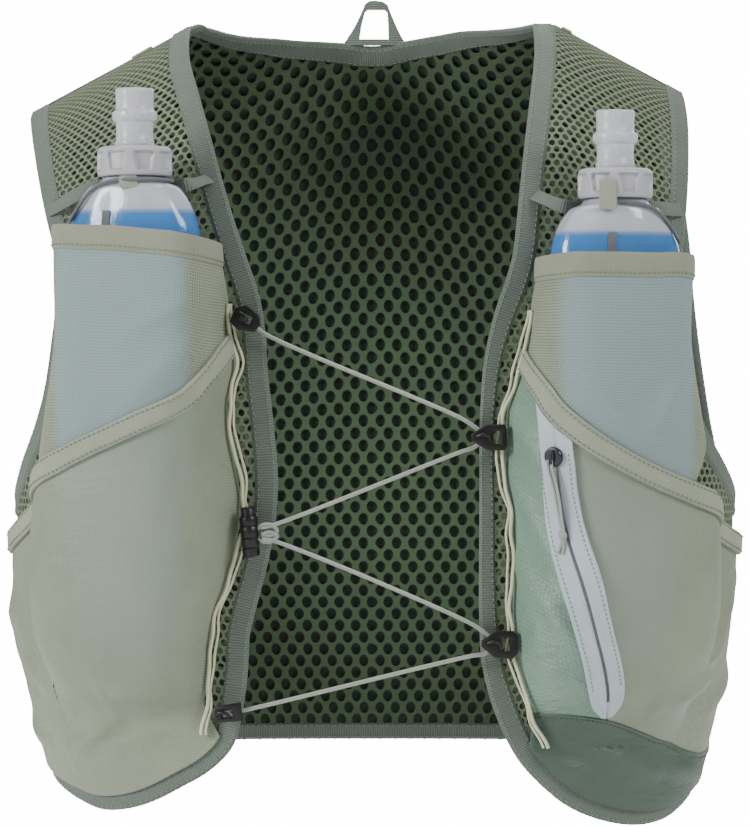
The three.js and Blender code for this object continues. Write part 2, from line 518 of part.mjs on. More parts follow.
// A frame standing on the cloth: x to the viewer's right, y up along the cloth, z off the cloth
function seat(side, turn, down, lift, spin = 0) {
  const run = runOfDown(down);
  const z = clothNormal(side, turn, run);
  const y = clothPoint(side, turn, run - probeRun).sub(clothPoint(side, turn, run + probeRun)).normalize();
  const x = y.clone().cross(z).normalize();
  const frame = new THREE.Matrix4().makeBasis(x, z.clone().cross(x), z);
  frame.setPosition(clothPoint(side, turn, run).addScaledVector(z, lift));
  return frame.multiply(new THREE.Matrix4().makeRotationZ(THREE.MathUtils.degToRad(spin)));
}
function plate(outline, thick, hole) {
  const shape = new THREE.Shape(outline.map(([x, y]) => new THREE.Vector2(x, y)));
  if (hole) shape.holes.push(new THREE.Path(hole.map(([x, y]) => new THREE.Vector2(x, y))));
  return new THREE.ExtrudeGeometry(shape, { depth: thick, bevelEnabled: false });
}

const backPlace = (row) => ({ ...row, turn: 180 - row.turn, down: -row.down });
const clothLift = netThick / 2;
const pocketLift = bindingThick / 2 + layerGap + pocketThick;
const flaskClearance = layerGap + netThick / 2 + overlayGap / 2;

// An even run of places through given ones
function even(places, steps) {
  const curve = new THREE.CatmullRomCurve3(places.map((p) => new THREE.Vector3(p.turn * turnLength, p.run, p.wide ?? 1)),
    false, 'centripetal');
  return curve.getSpacedPoints(steps).map((p) => ({ turn: p.x / turnLength, run: p.y, wide: p.z }));
}
// The same line with its places at equal distances along the cloth itself
function spread(side, places, steps) {
  const lengths = [0];
  const points = places.map((p) => clothPoint(side, p.turn, p.run));
  points.slice(1).forEach((p, i) => lengths.push(lengths[i] + p.distanceTo(points[i])));
  const total = lengths[lengths.length - 1];
  return Array.from({ length: steps + 1 }, (_, i) => {
    const wanted = (total * i) / steps;
    const k = Math.max(1, lengths.findIndex((l) => l >= wanted - 1e-9));
    return mixPlaces(places[k - 1], places[k], (wanted - lengths[k - 1]) / (lengths[k] - lengths[k - 1]));
  });
}
function mixPlaces(a, b, t) {
  return { turn: a.turn + (b.turn - a.turn) * t, run: a.run + (b.run - a.run) * t, wide: 1 };
}
// The stretch of a line on one side of a run, cut off exactly there
function cutAt(places, limit, isKept) {
  const kept = [];
  places.forEach((p, i) => {
    const q = places[i - 1];
    if (q && isKept(p.run) !== isKept(q.run)) kept.push(mixPlaces(q, p, (limit - q.run) / (p.run - q.run)));
    if (isKept(p.run)) kept.push(p);
  });
  return kept;
}
// Cloth that fills four border lines: top and bottom run across, first and last run down
function clothPatch(side, top, bottom, first, last, lift, thick) {
  const cols = top.length - 1;
  const rows = first.length - 1;
  const blend = (r, c, key) => {
    const [u, v] = [c / cols, r / rows];
    const corners = (1 - v) * ((1 - u) * top[0][key] + u * top[cols][key])
      + v * ((1 - u) * bottom[0][key] + u * bottom[cols][key]);
    return (1 - v) * top[c][key] + v * bottom[c][key] + (1 - u) * first[r][key] + u * last[r][key] - corners;
  };
  const grid = (height) => first.map((_, r) => top.map((__, c) => onCloth(side, blend(r, c, 'turn'), blend(r, c, 'run'), height)));
  return wall(grid(lift), grid(lift - thick));
}
// A pocket's inner edge, beside its cord, between two shares down
const pocketEdge = (side, low, high) => between(side.cord, 'down', low, high)
  .map((row) => placeAt(side, { ...row, turn: row.turn + footMargin }));
const placeAt = (side, row) => ({ turn: side.sign * row.turn, run: runOfDown(row.down), wide: 1 });
// The part of a row list that lies past a given turn or drop
const between = (rows, key, low, high) => rows.filter((row) => row[key] >= low && row[key] <= high);

function frontBinding(side) {
  const places = line(side.edge, side.sign, 44);
  add(`front_binding_${side.name}`, band(null, places, bindingWidth, bindingThick / 2, bindingThick), material('binding'));
}

// A closed loop of edging through places on the cloth
function bindingLoop(places, width, steps) {
  const points = places.map((s) => onCloth(null, s.turn, s.run, 0));
  const curve = new THREE.CatmullRomCurve3(points, true, 'centripetal');
  const faceCurve = new THREE.CatmullRomCurve3(places.map((s) => clothNormal(null, s.turn, s.run)), true, 'centripetal');
  const rings = [];
  for (let i = 0; i < steps; i += 1) {
    const p = curve.getPoint(i / steps);
    const n = faceCurve.getPoint(i / steps).normalize();
    const across = curve.getTangent(i / steps).cross(n).normalize().multiplyScalar(width / 2);
    const up = n.multiplyScalar(bindingThick / 2);
    rings.push([
      p.clone().sub(across).add(up), p.clone().add(across).add(up),
      p.clone().add(across).sub(up), p.clone().sub(across).sub(up),
    ]);
  }
  const index = [];
  for (let i = 0; i < steps; i += 1) {
    const j = (i + 1) % steps;
    for (let k = 0; k < 4; k += 1) {
      const m = (k + 1) % 4;
      index.push(i * 4 + k, j * 4 + k, j * 4 + m, i * 4 + k, j * 4 + m, i * 4 + m);
    }
  }
  return outwardFacing(surfaceGeometry(rings.flat(), index));
}
function armholeBinding(side) {
  const places = [...side.armhole, ...side.armholeBack].map((row) => placeAt(side, row));
  add(`armhole_binding_${side.name}`, bindingLoop(places, armBindingWidth, 40), material('binding'));
}

// Half of the back neckline, from the middle of the nape to the shoulder
const neckHalf = (side) => NECKLINE.map((row) => ({
  turn: side.sign * row.across * side.edge[0].turn, run: Math.min(-2 * edgeMargin, runOfDown(row.down)), wide: 1,
}));
const neckLine = () => [...neckHalf(LEFT).slice(1).reverse(), ...neckHalf(RIGHT)];
const bindingMargin = bindingWidth / 2 + edgeMargin;
const armMargin = armBindingWidth / 2 + armholeMargin;

// The coarse net over the shoulder and down the front, cut through in staggered gaps
function shoulderNet(side) {
  const [rows, cols] = [16, 8];
  const seamRun = edgeMargin - shoulderSeamBehind;
  const neck = [...neckHalf(side), ...between(side.edge, 'down', 0, 0.9).map((row) => placeAt(side, row))];
  const arm = [...side.armholeBack, ...side.armhole.filter((row) => row.turn < sideSeamTurn)];
  const border = (places, distance) => {
    const fine = even(cutAt(besideLine(even(places, 80), null, side.sign * distance), seamRun, (run) => run > seamRun), 200);
    return Array.from({ length: rows + 1 }, (_, r) => fine[Math.round(200 * (r / rows) ** 1.5)]);
  };
  const inner = border(neck, bindingMargin);
  const outer = border(arm.map((row) => placeAt(side, row)), -armMargin);
  const isGap = (r, c) => r % 2 === 1 && r > 2 && c > 0 && c < cols - 1 && (c + (r - 1) / 2) % 2 === 1;
  add(`shoulder_net_${side.name}`, clothBetween(null, inner, outer, cols, clothLift, netThick, isGap), material('net'));
}

// The back: a perforated inner panel, a plain outer cover, the neck edging and the hem edging
function backTop() {
  const seamRun = -shoulderSeamBehind;
  const isBehind = (run) => run < seamRun;
  const cut = (places) => cutAt(besideLine(places, null, armMargin), seamRun, isBehind);
  const arm = (side) => {
    const rows = [...side.armhole.filter((row) => row.turn > sideSeamTurn).map(backPlace), ...side.armholeBack,
      side.armhole[0]];
    return even([{ turn: side.sign * (180 - sideSeamTurn), run: runOfDown(-0.615), wide: 1 },
      ...rows.map((row) => placeAt(side, row))], 40);
  };
  const [left, right] = [cut(arm(LEFT)), cut(arm(RIGHT).reverse())];
  const neck = cutAt(besideLine(even(neckLine(), 40), null, bindingMargin + layerGap), seamRun, isBehind);
  const seam = (a, b) => [1, 2].map((i) => mixPlaces(a, b, i / 3));
  return [...even(left, 10), ...seam(left[left.length - 1], neck[0]), ...even(neck, 14),
    ...seam(neck[neck.length - 1], right[0]), ...even(right, 10)];
}
function backPanels() {
  const top = backTop();
  const margin = hemBindingWidth / 2 + layerGap;
  const bottomRun = runOfDown(-backHemDown) + margin;
  const bottom = top.map((_, i) => ({
    turn: (180 - sideSeamTurn) * ((2 * i) / (top.length - 1) - 1), run: bottomRun, wide: 1,
  }));
  const cols = 7;
  const isGap = (r, c) => c % 2 === 1 && c < cols - 1 && r > 2 && r < top.length - 4 && (r + (c - 1) / 2) % 2 === 0;
  add('back_mesh', clothBetween(null, top, bottom, cols, 0, meshThick, isGap), material('mesh'));
  add('back_cover', clothBetween(null, top, bottom, cols, layerGap + coverThick, coverThick), material('cover'));
  add('neck_binding', band(null, even(neckLine(), 24), bindingWidth, bindingThick / 2, bindingThick), material('binding'));
  const seamTurn = 180 - sideSeamTurn - 0.2;
  const hem = [-1, -0.66, -0.33, 0, 0.33, 0.66, 1].map((share) => ({
    turn: share * seamTurn, run: runOfDown(-backHemDown), wide: 1,
  }));
  add('back_hem_binding', band(null, even(hem, 30), hemBindingWidth, bindingThick / 2, bindingThick), material('binding'));
}

// The flask pockets on the chest and their elastic rims
function flaskPocket(side) {
  const cols = 12;
  const rim = spread(side, line(side.rim, side.sign, 60), cols);
  const across = side.sign * rimHeight;
  const rimLow = besideLine(rim, side, across);
  const bottomRows = side.tape.filter((row) => row.turn <= side.pocketOuterTurn);
  const bottom = spread(side, line([side.pocketFoot, ...bottomRows.slice(1)], side.sign, 60), cols).reverse();
  const top = besideLine(rim, side, across + side.sign * layerGap);
  const rows = 7;
  const outerEdge = even([top[0], ...side.pocketSide.map((row) => placeAt(side, row)), bottom[0]], rows);
  const innerEdge = even([top[cols], ...pocketEdge(side, side.innerFrom, side.pocketFoot.down - 0.01), bottom[cols]], rows);
  add(`flask_pocket_${side.name}`, clothPatch(side, top, bottom, outerEdge, innerEdge, pocketLift, pocketThick), material('pocket'));
  add(`pocket_rim_${side.name}`, clothBetween(side, rim, rimLow, 1, pocketLift + layerGap, rimThick), material('rim'));
}

// The diagonal tape across the pockets
const tapeSteps = 20;
function pocketTape(side) {
  const places = spread(side, line(side.tape, side.sign, 80), tapeSteps);
  add(`pocket_tape_${side.name}`, band(side, places, tapeWidth, pocketLift + overlayGap + tapeThick, tapeThick, 2),
    material('rim'));
}
const hemTop = (side, fromDown, steps) => {
  const places = line(side.edge, side.sign, 80);
  const start = places.findIndex((p) => p.run >= runOfDown(fromDown));
  return even(besideLine(places.slice(start), null, side.sign * (bindingWidth / 2 + layerGap)), steps);
};
const seamLine = (side, from, to, steps) => Array.from({ length: steps + 1 }, (_, i) => ({
  turn: side.sign * (sideSeamTurn - 0.3), run: from + ((to - from) * i) / steps, wide: 1,
}));

function lowerPocketLeft() {
  const side = LEFT;
  const [cols, rows] = [tapeSteps, 8];
  const tape = spread(side, line([side.pocketFoot, ...side.tape.slice(1)], side.sign, 60), cols);
  const top = besideLine(tape, side, -side.sign * overlayGap);
  const bottom = hemTop(side, 0.905, cols);
  const first = even([top[0], ...pocketEdge(side, side.pocketFoot.down + 0.01, 0.87), bottom[0]], rows);
  const last = seamLine(side, top[cols].run, bottom[cols].run, rows);
  add('lower_pocket_left', clothPatch(side, top, bottom, first, last, pocketLift, pocketThick), material('pocket'));
}
function lowerPocketRight() {
  const side = RIGHT;
  const [cols, rows] = [14, 8];
  const tape = line([side.pocketFoot, ...side.tape.slice(1)], side.sign, 60);
  const flap = line(FLAP_TOP, side.sign, 60);
  const zipRows = [...ZIP, { down: 0.884, turn: 33.6 }].map((row) => placeAt(side, row));
  const near = (places, turn) => places.findIndex((p) => p.turn >= turn);
  const tapeCut = near(tape, ZIP[0].turn);
  const flapCut = near(flap, 33.6);
  const lower = (places) => besideLine(places, side, -side.sign * overlayGap);
  const upper = (places) => besideLine(places, side, side.sign * layerGap);
  const zipSide = (sign, from, to) => even([from, ...besideLine(zipRows, side, sign * layerGap).slice(1, -1), to], rows);
  const stopTop = even(lower(tape.slice(0, tapeCut + 1)), 4);
  const stopBottom = even(upper(flap.slice(0, flapCut + 1)), 4);
  const cordEdge = even([stopTop[0], ...pocketEdge(side, 0.45, 0.86), stopBottom[0]], rows);
  add('ripstop_panel', clothPatch(side, stopTop, stopBottom, cordEdge, zipSide(-1, stopTop[4], stopBottom[4]), pocketLift, pocketThick),
    material('ripstop'));
  const top = spread(side, lower(tape.slice(tapeCut + 1)), cols);
  const bottom = even(upper(flap.slice(flapCut + 1)), cols);
  const last = seamLine(side, top[cols].run, bottom[cols].run, rows);
  add('lower_pocket_right', clothPatch(side, top, bottom, zipSide(1, top[0], bottom[0]), last, pocketLift, pocketThick),
    material('pocket'));
  const flapTop = even(lower(flap), cols);
  const flapBottom = hemTop(side, 0.922, cols);
  const flapFirst = even([flapTop[0], flapBottom[0]].flatMap((p, i, all) => (i ? [p] : [p, {
    turn: (all[0].turn + all[1].turn) / 2, run: (all[0].run + all[1].run) / 2, wide: 1,
  }])), 3);
  add('hem_flap', clothPatch(side, flapTop, flapBottom, flapFirst, seamLine(side, flapTop[cols].run, flapBottom[cols].run, 3),
    pocketLift, pocketThick), material('flap'));
}

// A soft flask in each pocket, with its screw cap and bite valve
function flaskAxis(side, z) {
  const share = Math.max(0.32, -z / frontDrop);
  const form = bodyPoint(side.sign * flaskTurn, share * frontDrop);
  const out = column(FLASK, 'out', (side.neckTop - z) / flaskLength);
  const centre = form.addScaledVector(outward(side), flaskClearance + flaskHalfDepth * out);
  return new THREE.Vector3(centre.x, centre.y, z);
}
// A point on a flask's skin: angle 0 faces straight out, and 90 is towards the viewer's right
function flaskPoint(side, share, angle, lift = 0) {
  const half = flaskHalfWidth * column(FLASK, 'wide', share) + lift;
  const deep = flaskHalfDepth * column(FLASK, 'deep', share) + lift;
  const out = outward(side);
  const right = new THREE.Vector3(-out.y, out.x, 0);
  const a = THREE.MathUtils.degToRad(angle);
  const power = 2 / flaskSquareness;
  const u = Math.sign(Math.sin(a)) * half * Math.abs(Math.sin(a)) ** power;
  const v = Math.sign(Math.cos(a)) * deep * Math.abs(Math.cos(a)) ** power;
  return flaskAxis(side, side.neckTop - share * flaskLength).addScaledVector(right, u).addScaledVector(out, v);
}
function flask(side) {
  const sides = 16;
  const rings = FLASK.map((row) => Array.from({ length: sides }, (_, i) => flaskPoint(side, row.down, (360 * i) / sides)));
  const points = [...rings.flat(), flaskAxis(side, side.neckTop), flaskAxis(side, side.neckTop - flaskLength)];
  const faces = [];
  const last = rings.length - 1;
  for (let i = 0; i < sides; i += 1) {
    const j = (i + 1) % sides;
    for (let r = 0; r < last; r += 1) {
      const [a, b, c, d] = [r * sides + i, r * sides + j, (r + 1) * sides + j, (r + 1) * sides + i];
      faces.push(a, b, c, a, c, d);
    }
    faces.push(rings.length * sides, j, i, rings.length * sides + 1, last * sides + i, last * sides + j);
  }
  add(`flask_${side.name}`, outwardFacing(surfaceGeometry(points, faces)), material('flask', 0.25));
}
function turned(profile, segments) {
  const geometry = new THREE.LatheGeometry(profile.map(([r, z]) => new THREE.Vector2(r, z)), segments);
  return geometry.rotateX(Math.PI / 2);
}
function capAndValve(side) {
  const centre = flaskAxis(side, side.neckTop);
  const cap = add(`flask_cap_${side.name}`, turned([
    [0, 0], [capRadius * 0.95, 0], [capRadius, capHeight * 0.12], [capRadius, capHeight * 0.82],
    [capRadius * 0.94, capHeight], [0, capHeight],
  ], 20), material('cap', 0.4));
  cap.position.set(centre.x, centre.y, side.neckTop + capGap);
  const valve = add(`bite_valve_${side.name}`, turned([
    [0, 0], [valveRadius, 0], [valveRadius * 0.94, valveLength * 0.28], [valveRingRadius, valveLength * 0.46],
    [valveRingRadius, valveLength * 0.62], [valveRadius * 0.95, valveLength * 0.72], [valveRadius, valveLength], [0, valveLength],
  ], 14), material('valve', 0.3));
  valve.position.set(centre.x, centre.y, side.neckTop + 2 * capGap + capHeight);
}
// The thin cord from the pocket rim that is looped round the flask's neck
function retentionCord(side) {
  const lift = retentionCordDiameter / 2 + layerGap;
  const points = side.retention.map((row) => flaskPoint(side, row.share, row.angle, lift + row.out));
  add(`retention_cord_${side.name}`, cord(points, retentionCordDiameter), material('grey'));
}
// The elastic that holds the flask's neck back against the shoulder
function neckStrap(side) {
  const out = outward(side);
  const right = new THREE.Vector3(-out.y, out.x, 0);
  const axis = flaskAxis(side, side.neckTop - neckStrapWidth / 2);
  const behind = (along, off) => axis.clone().addScaledVector(right, side.sign * along).addScaledVector(out, -off);
  const lift = bindingThick / 2 + layerGap + neckStrapThick / 2;
  const outerEnd = onCloth(null, side.sign * side.strap.outerTurn, runOfDown(side.strap.outerDown), lift);
  const innerEnd = onCloth(null, side.sign * side.strap.innerTurn, runOfDown(side.strap.innerDown), lift);
  const round = flaskHalfDepth * 0.95 + layerGap + neckStrapThick;
  const points = [outerEnd, behind(round * 1.25, round * 0.5), behind(round * 0.6, round), behind(-round * 0.6, round),
    behind(-round * 1.25, round * 0.5), innerEnd];
  const normals = points.map((p, i) => (i === 0 || i === 5
    ? clothNormal(null, side.sign * (i ? side.strap.innerTurn : side.strap.outerTurn),
      runOfDown(i ? side.strap.innerDown : side.strap.outerDown))
    : out.clone()));
  add(`neck_strap_${side.name}`, ribbon(points, normals, neckStrapWidth, neckStrapThick), material('binding'));
}

// The elastic cords threaded down the pockets' front edges
function edgeCord(side) {
  const lift = pocketLift + overlayGap + layerGap + edgeCordDiameter / 2;
  const points = line(side.cord, side.sign, 26).map((p) => onCloth(side, p.turn, p.run, lift));
  add(`edge_cord_${side.name}`, cord(points, edgeCordDiameter), material('cream'));
}

// Zip on the right pocket: tape, slider and cord pull
function zip() {
  const side = RIGHT;
  const lift = pocketLift + overlayGap + zipThick;
  add('zip_tape', band(side, line(ZIP, 1, 22), zipWidth, lift, zipThick, 2), material('zip'));
  const slider = new THREE.CylinderGeometry(sliderRadius, sliderRadius, sliderThick, 12).rotateX(Math.PI / 2);
  const frame = seat(side, sliderPlace.turn, sliderPlace.down, lift + layerGap + sliderThick / 2);
  const mesh = add('zip_slider', slider, material('metal', 0.35, 0.8));
  mesh.applyMatrix4(frame);
  const pull = PULL_CORD.map(([x, y, z]) => new THREE.Vector3(x, y, z + sliderThick / 2 + pullCordDiameter / 2 + layerGap)
    .applyMatrix4(frame));
  add('zip_pull_cord', cord(pull, pullCordDiameter), material('grey'));
}

// Plastic hardware of the front lacing
const clipLift = pocketLift + overlayGap + edgeCordDiameter + 2 * layerGap;
const lockLift = clipLift + lockRadius - 2 * layerGap;
const laceLift = clipLift - layerGap - laceDiameter / 2;
function clip(name, row) {
  const mesh = add(name, plate(row.outline, clipThick, row.hole), material('plastic', 0.45));
  mesh.applyMatrix4(seat(null, row.turn, row.down, clipLift, row.spin));
}
function cordLock() {
  const frame = seat(null, LOCK.turn, LOCK.down, lockLift, LOCK.spin);
  const [top, bore] = [lockLength / 2, lockRadius - lockWall];
  const profile = (rows) => new THREE.LatheGeometry(rows.map(([r, y]) => new THREE.Vector2(r, y)), 12);
  const barrel = add('cord_lock_barrel', profile([
    [0, -top], [lockRadius * 0.93, -top], [lockRadius, top], [bore, top], [bore, top - lockBoreDepth], [0, top - lockBoreDepth],
  ]), material('plastic', 0.4));
  barrel.applyMatrix4(frame);
  const foot = top - buttonSeated;
  const button = add('cord_lock_button', profile([
    [0, foot], [bore - buttonGap, foot], [bore - buttonGap, foot + buttonLength], [0, foot + buttonLength],
  ]), material('plastic', 0.4));
  button.applyMatrix4(frame);
}
function laces() {
  const height = laceLift - clipLift;
  const fromClip = (row, x, y) => new THREE.Vector3(x, y, height).applyMatrix4(seat(null, row.turn, row.down, clipLift, row.spin));
  const fromLock = (x, y) => new THREE.Vector3(x, y, 0).applyMatrix4(
    seat(null, LOCK.turn, LOCK.down, lockLift, LOCK.spin));
  const [upperLeft, upperRight, lowerRight, lowerLeft] = CLIPS;
  const turnRound = (row) => row.bend.map(([x, y]) => fromClip(row, x, y));
  add('lacing_cord_upper', cord([fromClip(upperLeft, 4, -1), fromClip(upperLeft, 9, -3), ...turnRound(upperRight),
    fromLock(12, 5), fromLock(lockRadius + 1.5, 4.2)], laceDiameter, 6), material('lace'));
  add('lacing_cord_lower', cord([fromLock(lockRadius + 1.5, -1.6), fromLock(12, -3), ...turnRound(lowerRight),
    fromClip(lowerLeft, 8, 0), fromClip(lowerLeft, 1, 0)], laceDiameter, 6), material('lace'));
}

// The flat hanging loop at the nape and the folded tabs on the shoulders
function hangLoop() {
  const [nape] = neckHalf(RIGHT);
  const foot = onCloth(null, 0, nape.run + bindingWidth / 2 + 2 * layerGap, loopThick / 2);
  const mesh = add('hang_loop', plate(HANG_LOOP, loopThick, HANG_LOOP_HOLE).rotateX(Math.PI / 2), material('rim'));
  mesh.position.copy(foot);
}
function shoulderTabs() {
  for (const side of SIDES) {
    const { turn, down, width, height, spin } = side.tab;
    const outline = [[-width / 2, -height / 2], [width / 2, -height / 2], [width / 2, height / 2], [-width / 2, height / 2]];
    const mesh = add(`shoulder_tab_${side.name}`, plate(outline, loopThick), material('rim'));
    mesh.applyMatrix4(seat(null, side.sign * turn, down, clothLift + layerGap, spin));
  }
}

for (const side of SIDES) {
  frontBinding(side);
  armholeBinding(side);
  shoulderNet(side);
  flaskPocket(side);
  pocketTape(side);
  flask(side);
  capAndValve(side);
  retentionCord(side);
  neckStrap(side);
  edgeCord(side);
}
backPanels();
lowerPocketLeft();
lowerPocketRight();
zip();
CLIPS.forEach((row) => clip(row.name, row));
cordLock();
laces();
hangLoop();
shoulderTabs();

export default vest;
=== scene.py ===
# Looks of the running hydration vest: cloth, net, edging, cords, soft flasks and plastic hardware.
# Lengths are in millimetres until a mesh is made. The front faces -Y, and the viewer's left is -X.
import math
import bpy
import numpy as np
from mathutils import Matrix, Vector


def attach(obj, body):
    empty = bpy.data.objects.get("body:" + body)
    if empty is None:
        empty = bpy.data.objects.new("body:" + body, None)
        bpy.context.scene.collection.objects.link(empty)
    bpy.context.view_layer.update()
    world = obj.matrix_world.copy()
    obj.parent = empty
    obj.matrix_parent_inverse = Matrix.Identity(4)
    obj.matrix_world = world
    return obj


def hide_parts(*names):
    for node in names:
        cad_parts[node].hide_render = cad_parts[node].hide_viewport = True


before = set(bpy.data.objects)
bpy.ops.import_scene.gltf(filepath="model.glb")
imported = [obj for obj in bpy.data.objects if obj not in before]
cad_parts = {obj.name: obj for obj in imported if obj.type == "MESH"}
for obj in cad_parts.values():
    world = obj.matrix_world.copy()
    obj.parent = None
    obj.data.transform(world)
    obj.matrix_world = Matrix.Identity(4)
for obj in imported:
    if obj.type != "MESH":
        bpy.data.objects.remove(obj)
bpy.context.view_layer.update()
bpy.ops.object.select_all(action="DESELECT")
MM = 0.001
VEST = "vest"

# Sizes of the body form and the cloth.
CHEST_HALF_WIDTH = 190.0
CHEST_FRONT_DEPTH = 114.0
CHEST_BACK_DEPTH = 106.0
FRONT_DROP = 400.0
FRONT_ARCH = 150.0
BACK_ARCH = 55.0
SHOULDER_FLAT = 96.0
SHOULDER_SLOPE = 0.55
SHOULDER_RISE = 6.0
SHOULDER_FADE = 300.0
NAPE_RISE = 30.0
NAPE_HALF_WIDTH = 85.0
BODY_SQUARENESS = 2.6
BINDING_WIDTH = 11.5
ARM_BINDING_WIDTH = 11.0
HEM_BINDING_WIDTH = 9.0
BINDING_THICK = 2.8
ARM_BINDING_THICK = 3.4
NECK_BINDING_THICK = 3.8
TAPE_WIDTH = 10.5
RIM_HEIGHT = 12.0
ZIP_WIDTH = 17.0
EDGE_CORD_DIAMETER = 2.6
LACE_DIAMETER = 2.2
RETENTION_CORD_DIAMETER = 2.0
PULL_CORD_DIAMETER = 1.6
POCKET_LIFT = 3.2
POCKET_THICK = 1.4
LAYER_GAP = 0.4
OVERLAY_GAP = 1.4
OVERLAY_LIFT = POCKET_LIFT + OVERLAY_GAP
EDGE_MARGIN = 1.6
SIDE_SEAM_TURN = 100.0
FLASK_HALF_WIDTH = 36.4
FLASK_SQUARENESS = 2.3
FLASK_HALF_DEPTH = 18.5
FLASK_LENGTH = 256.0
FLASK_YAW = 18.0
FLASK_TURN = 30.5
FLASK_CLEARANCE = LAYER_GAP + 0.6 + OVERLAY_GAP / 2
POCKET_BULGE = 45.0
FOOT_MARGIN = 1.25
FOOT_SOFTNESS = 1.25
CAP_HEIGHT = 15.0
CAP_GAP = 0.3
NECK_STRAP_WIDTH = 7.0
CLIP_THICK = 3.6
LOCK_RADIUS = 4.6
LOCK_LENGTH = 20.5
BACK_HEM_DOWN = 0.941


def table(names, *rows):
    """Named columns of numbers, a row for each place."""
    columns = np.array(rows, float).T
    return dict(zip(names.split(), columns))


BODY = table("down wide front back",
             (0.00, 1.03, 0.99, 0.98), (0.25, 1.02, 1.01, 1.02), (0.50, 1.00, 1.00, 0.98),
             (0.70, 0.99, 0.955, 0.93), (0.86, 0.95, 0.93, 0.90), (1.03, 0.86, 0.88, 0.87))
# Down is a share of the front drop, below zero behind the shoulder. Turn is in degrees round the body.
FRONT_EDGE_LEFT = table("down turn wide",
                        (0, 25.5, 1), (0.05, 25.3, 1), (0.10, 23.6, 1), (0.155, 21.5, 1), (0.20, 19.9, 1),
                        (0.27, 17.3, 1), (0.31, 15.7, 1), (0.36, 13.8, 1), (0.40, 13.1, 1), (0.45, 12.8, 1),
                        (0.52, 12.0, 1), (0.58, 11.5, 1), (0.63, 11.8, 1), (0.69, 13.1, 1), (0.74, 14.8, 1),
                        (0.78, 16.1, 1), (0.83, 16.8, 1), (0.88, 18.2, 1), (0.915, 20.0, 1), (0.942, 24.2, 1),
                        (0.962, 30.0, 1), (0.982, 37.5, 1), (0.993, 45.0, 1), (0.996, 53.0, 1),
                        (0.988, 62.0, 0.95), (0.975, 74.0, 0.9), (0.960, 88.0, 0.85), (0.950, 99.8, 0.8))
FRONT_EDGE_RIGHT = table("down turn wide",
                         (0, 21.0, 1), (0.05, 20.9, 1), (0.11, 19.9, 1), (0.17, 18.9, 1), (0.22, 18.2, 1),
                         (0.27, 17.6, 1), (0.31, 17.0, 1), (0.34, 16.0, 1), (0.37, 14.7, 0.95),
                         (0.40, 13.6, 0.85), (0.44, 12.6, 0.75), (0.50, 12.0, 0.65), (0.56, 11.9, 0.62),
                         (0.62, 12.0, 0.66), (0.69, 12.1, 0.7), (0.76, 12.5, 0.8), (0.815, 13.3, 0.9),
                         (0.86, 15.1, 1), (0.905, 17.9, 1), (0.935, 20.8, 1), (0.965, 25.6, 1),
                         (0.988, 31.0, 1), (1.005, 38.5, 1), (1.015, 49.0, 1), (1.012, 61.0, 0.98),
                         (0.995, 74.0, 0.95), (0.972, 88.0, 0.85), (0.950, 99.8, 0.8))
ARMHOLE_LEFT = table("down turn",
                     (0, 61.8), (0.015, 61.5), (0.05, 60.3), (0.10, 58.4), (0.15, 56.4), (0.20, 54.2),
                     (0.256, 51.6), (0.30, 51.0), (0.34, 51.5), (0.39, 53.4), (0.46, 57.0), (0.515, 62.5),
                     (0.56, 70.0), (0.60, 79.0), (0.622, 90.0), (0.60, 101.0), (0.54, 109.0), (0.44, 116.0),
                     (0.33, 121.0), (0.22, 123.0))
ARMHOLE_RIGHT = table("down turn",
                      (0, 49.4), (0.015, 49.4), (0.06, 49.7), (0.13, 49.3), (0.19, 48.6), (0.25, 47.6),
                      (0.31, 47.0), (0.37, 47.6), (0.44, 50.8), (0.495, 55.2), (0.53, 60.0), (0.565, 68.0),
                      (0.60, 79.0), (0.622, 90.0), (0.60, 101.0), (0.54, 109.0), (0.44, 116.0),
                      (0.33, 121.0), (0.22, 124.0))
ARMHOLE_BACK_LEFT = table("down turn", (-0.13, 57.5), (-0.06, 59.5), (-0.015, 61.2))
ARMHOLE_BACK_RIGHT = table("down turn", (-0.13, 53.0), (-0.06, 50.5), (-0.015, 49.6))
NECKLINE = table("down across",
                 (-0.0763, 0), (-0.066, 0.12), (-0.045, 0.31), (-0.024, 0.50), (-0.0115, 0.68),
                 (-0.004, 0.84), (0, 1))
RIM_LEFT = table("down turn",
                 (0.234, 46.6), (0.240, 43), (0.252, 37), (0.262, 31.5), (0.273, 27), (0.285, 22),
                 (0.292, 18.8))
RIM_RIGHT = table("down turn",
                  (0.281, 45.2), (0.285, 39), (0.293, 34), (0.300, 28.5), (0.305, 24.5), (0.308, 21.4),
                  (0.310, 19.8))
TAPE_LEFT = table("down turn",
                  (0.418, 17.6), (0.450, 20.2), (0.488, 24.0), (0.512, 29.5), (0.534, 36.0), (0.553, 43.0),
                  (0.574, 50.0), (0.600, 57.0), (0.630, 64.0), (0.652, 73.0), (0.668, 85.0), (0.675, 99.6))
TAPE_RIGHT = table("down turn",
                   (0.433, 18.0), (0.470, 20.0), (0.500, 21.8), (0.530, 25.4), (0.556, 30.4), (0.578, 36.4),
                   (0.596, 44.0), (0.614, 52.0), (0.636, 60.0), (0.655, 68.0), (0.668, 80.0), (0.675, 99.6))
EDGE_CORD_LEFT = table("down turn",
                       (0.366, 16.4), (0.403, 16.4), (0.439, 15.4), (0.468, 16.0), (0.489, 16.6),
                       (0.533, 16.3), (0.574, 15.2), (0.617, 14.4), (0.659, 15.2), (0.706, 16.9),
                       (0.746, 18.9), (0.786, 20.3), (0.823, 20.8), (0.860, 21.6), (0.905, 23.2))
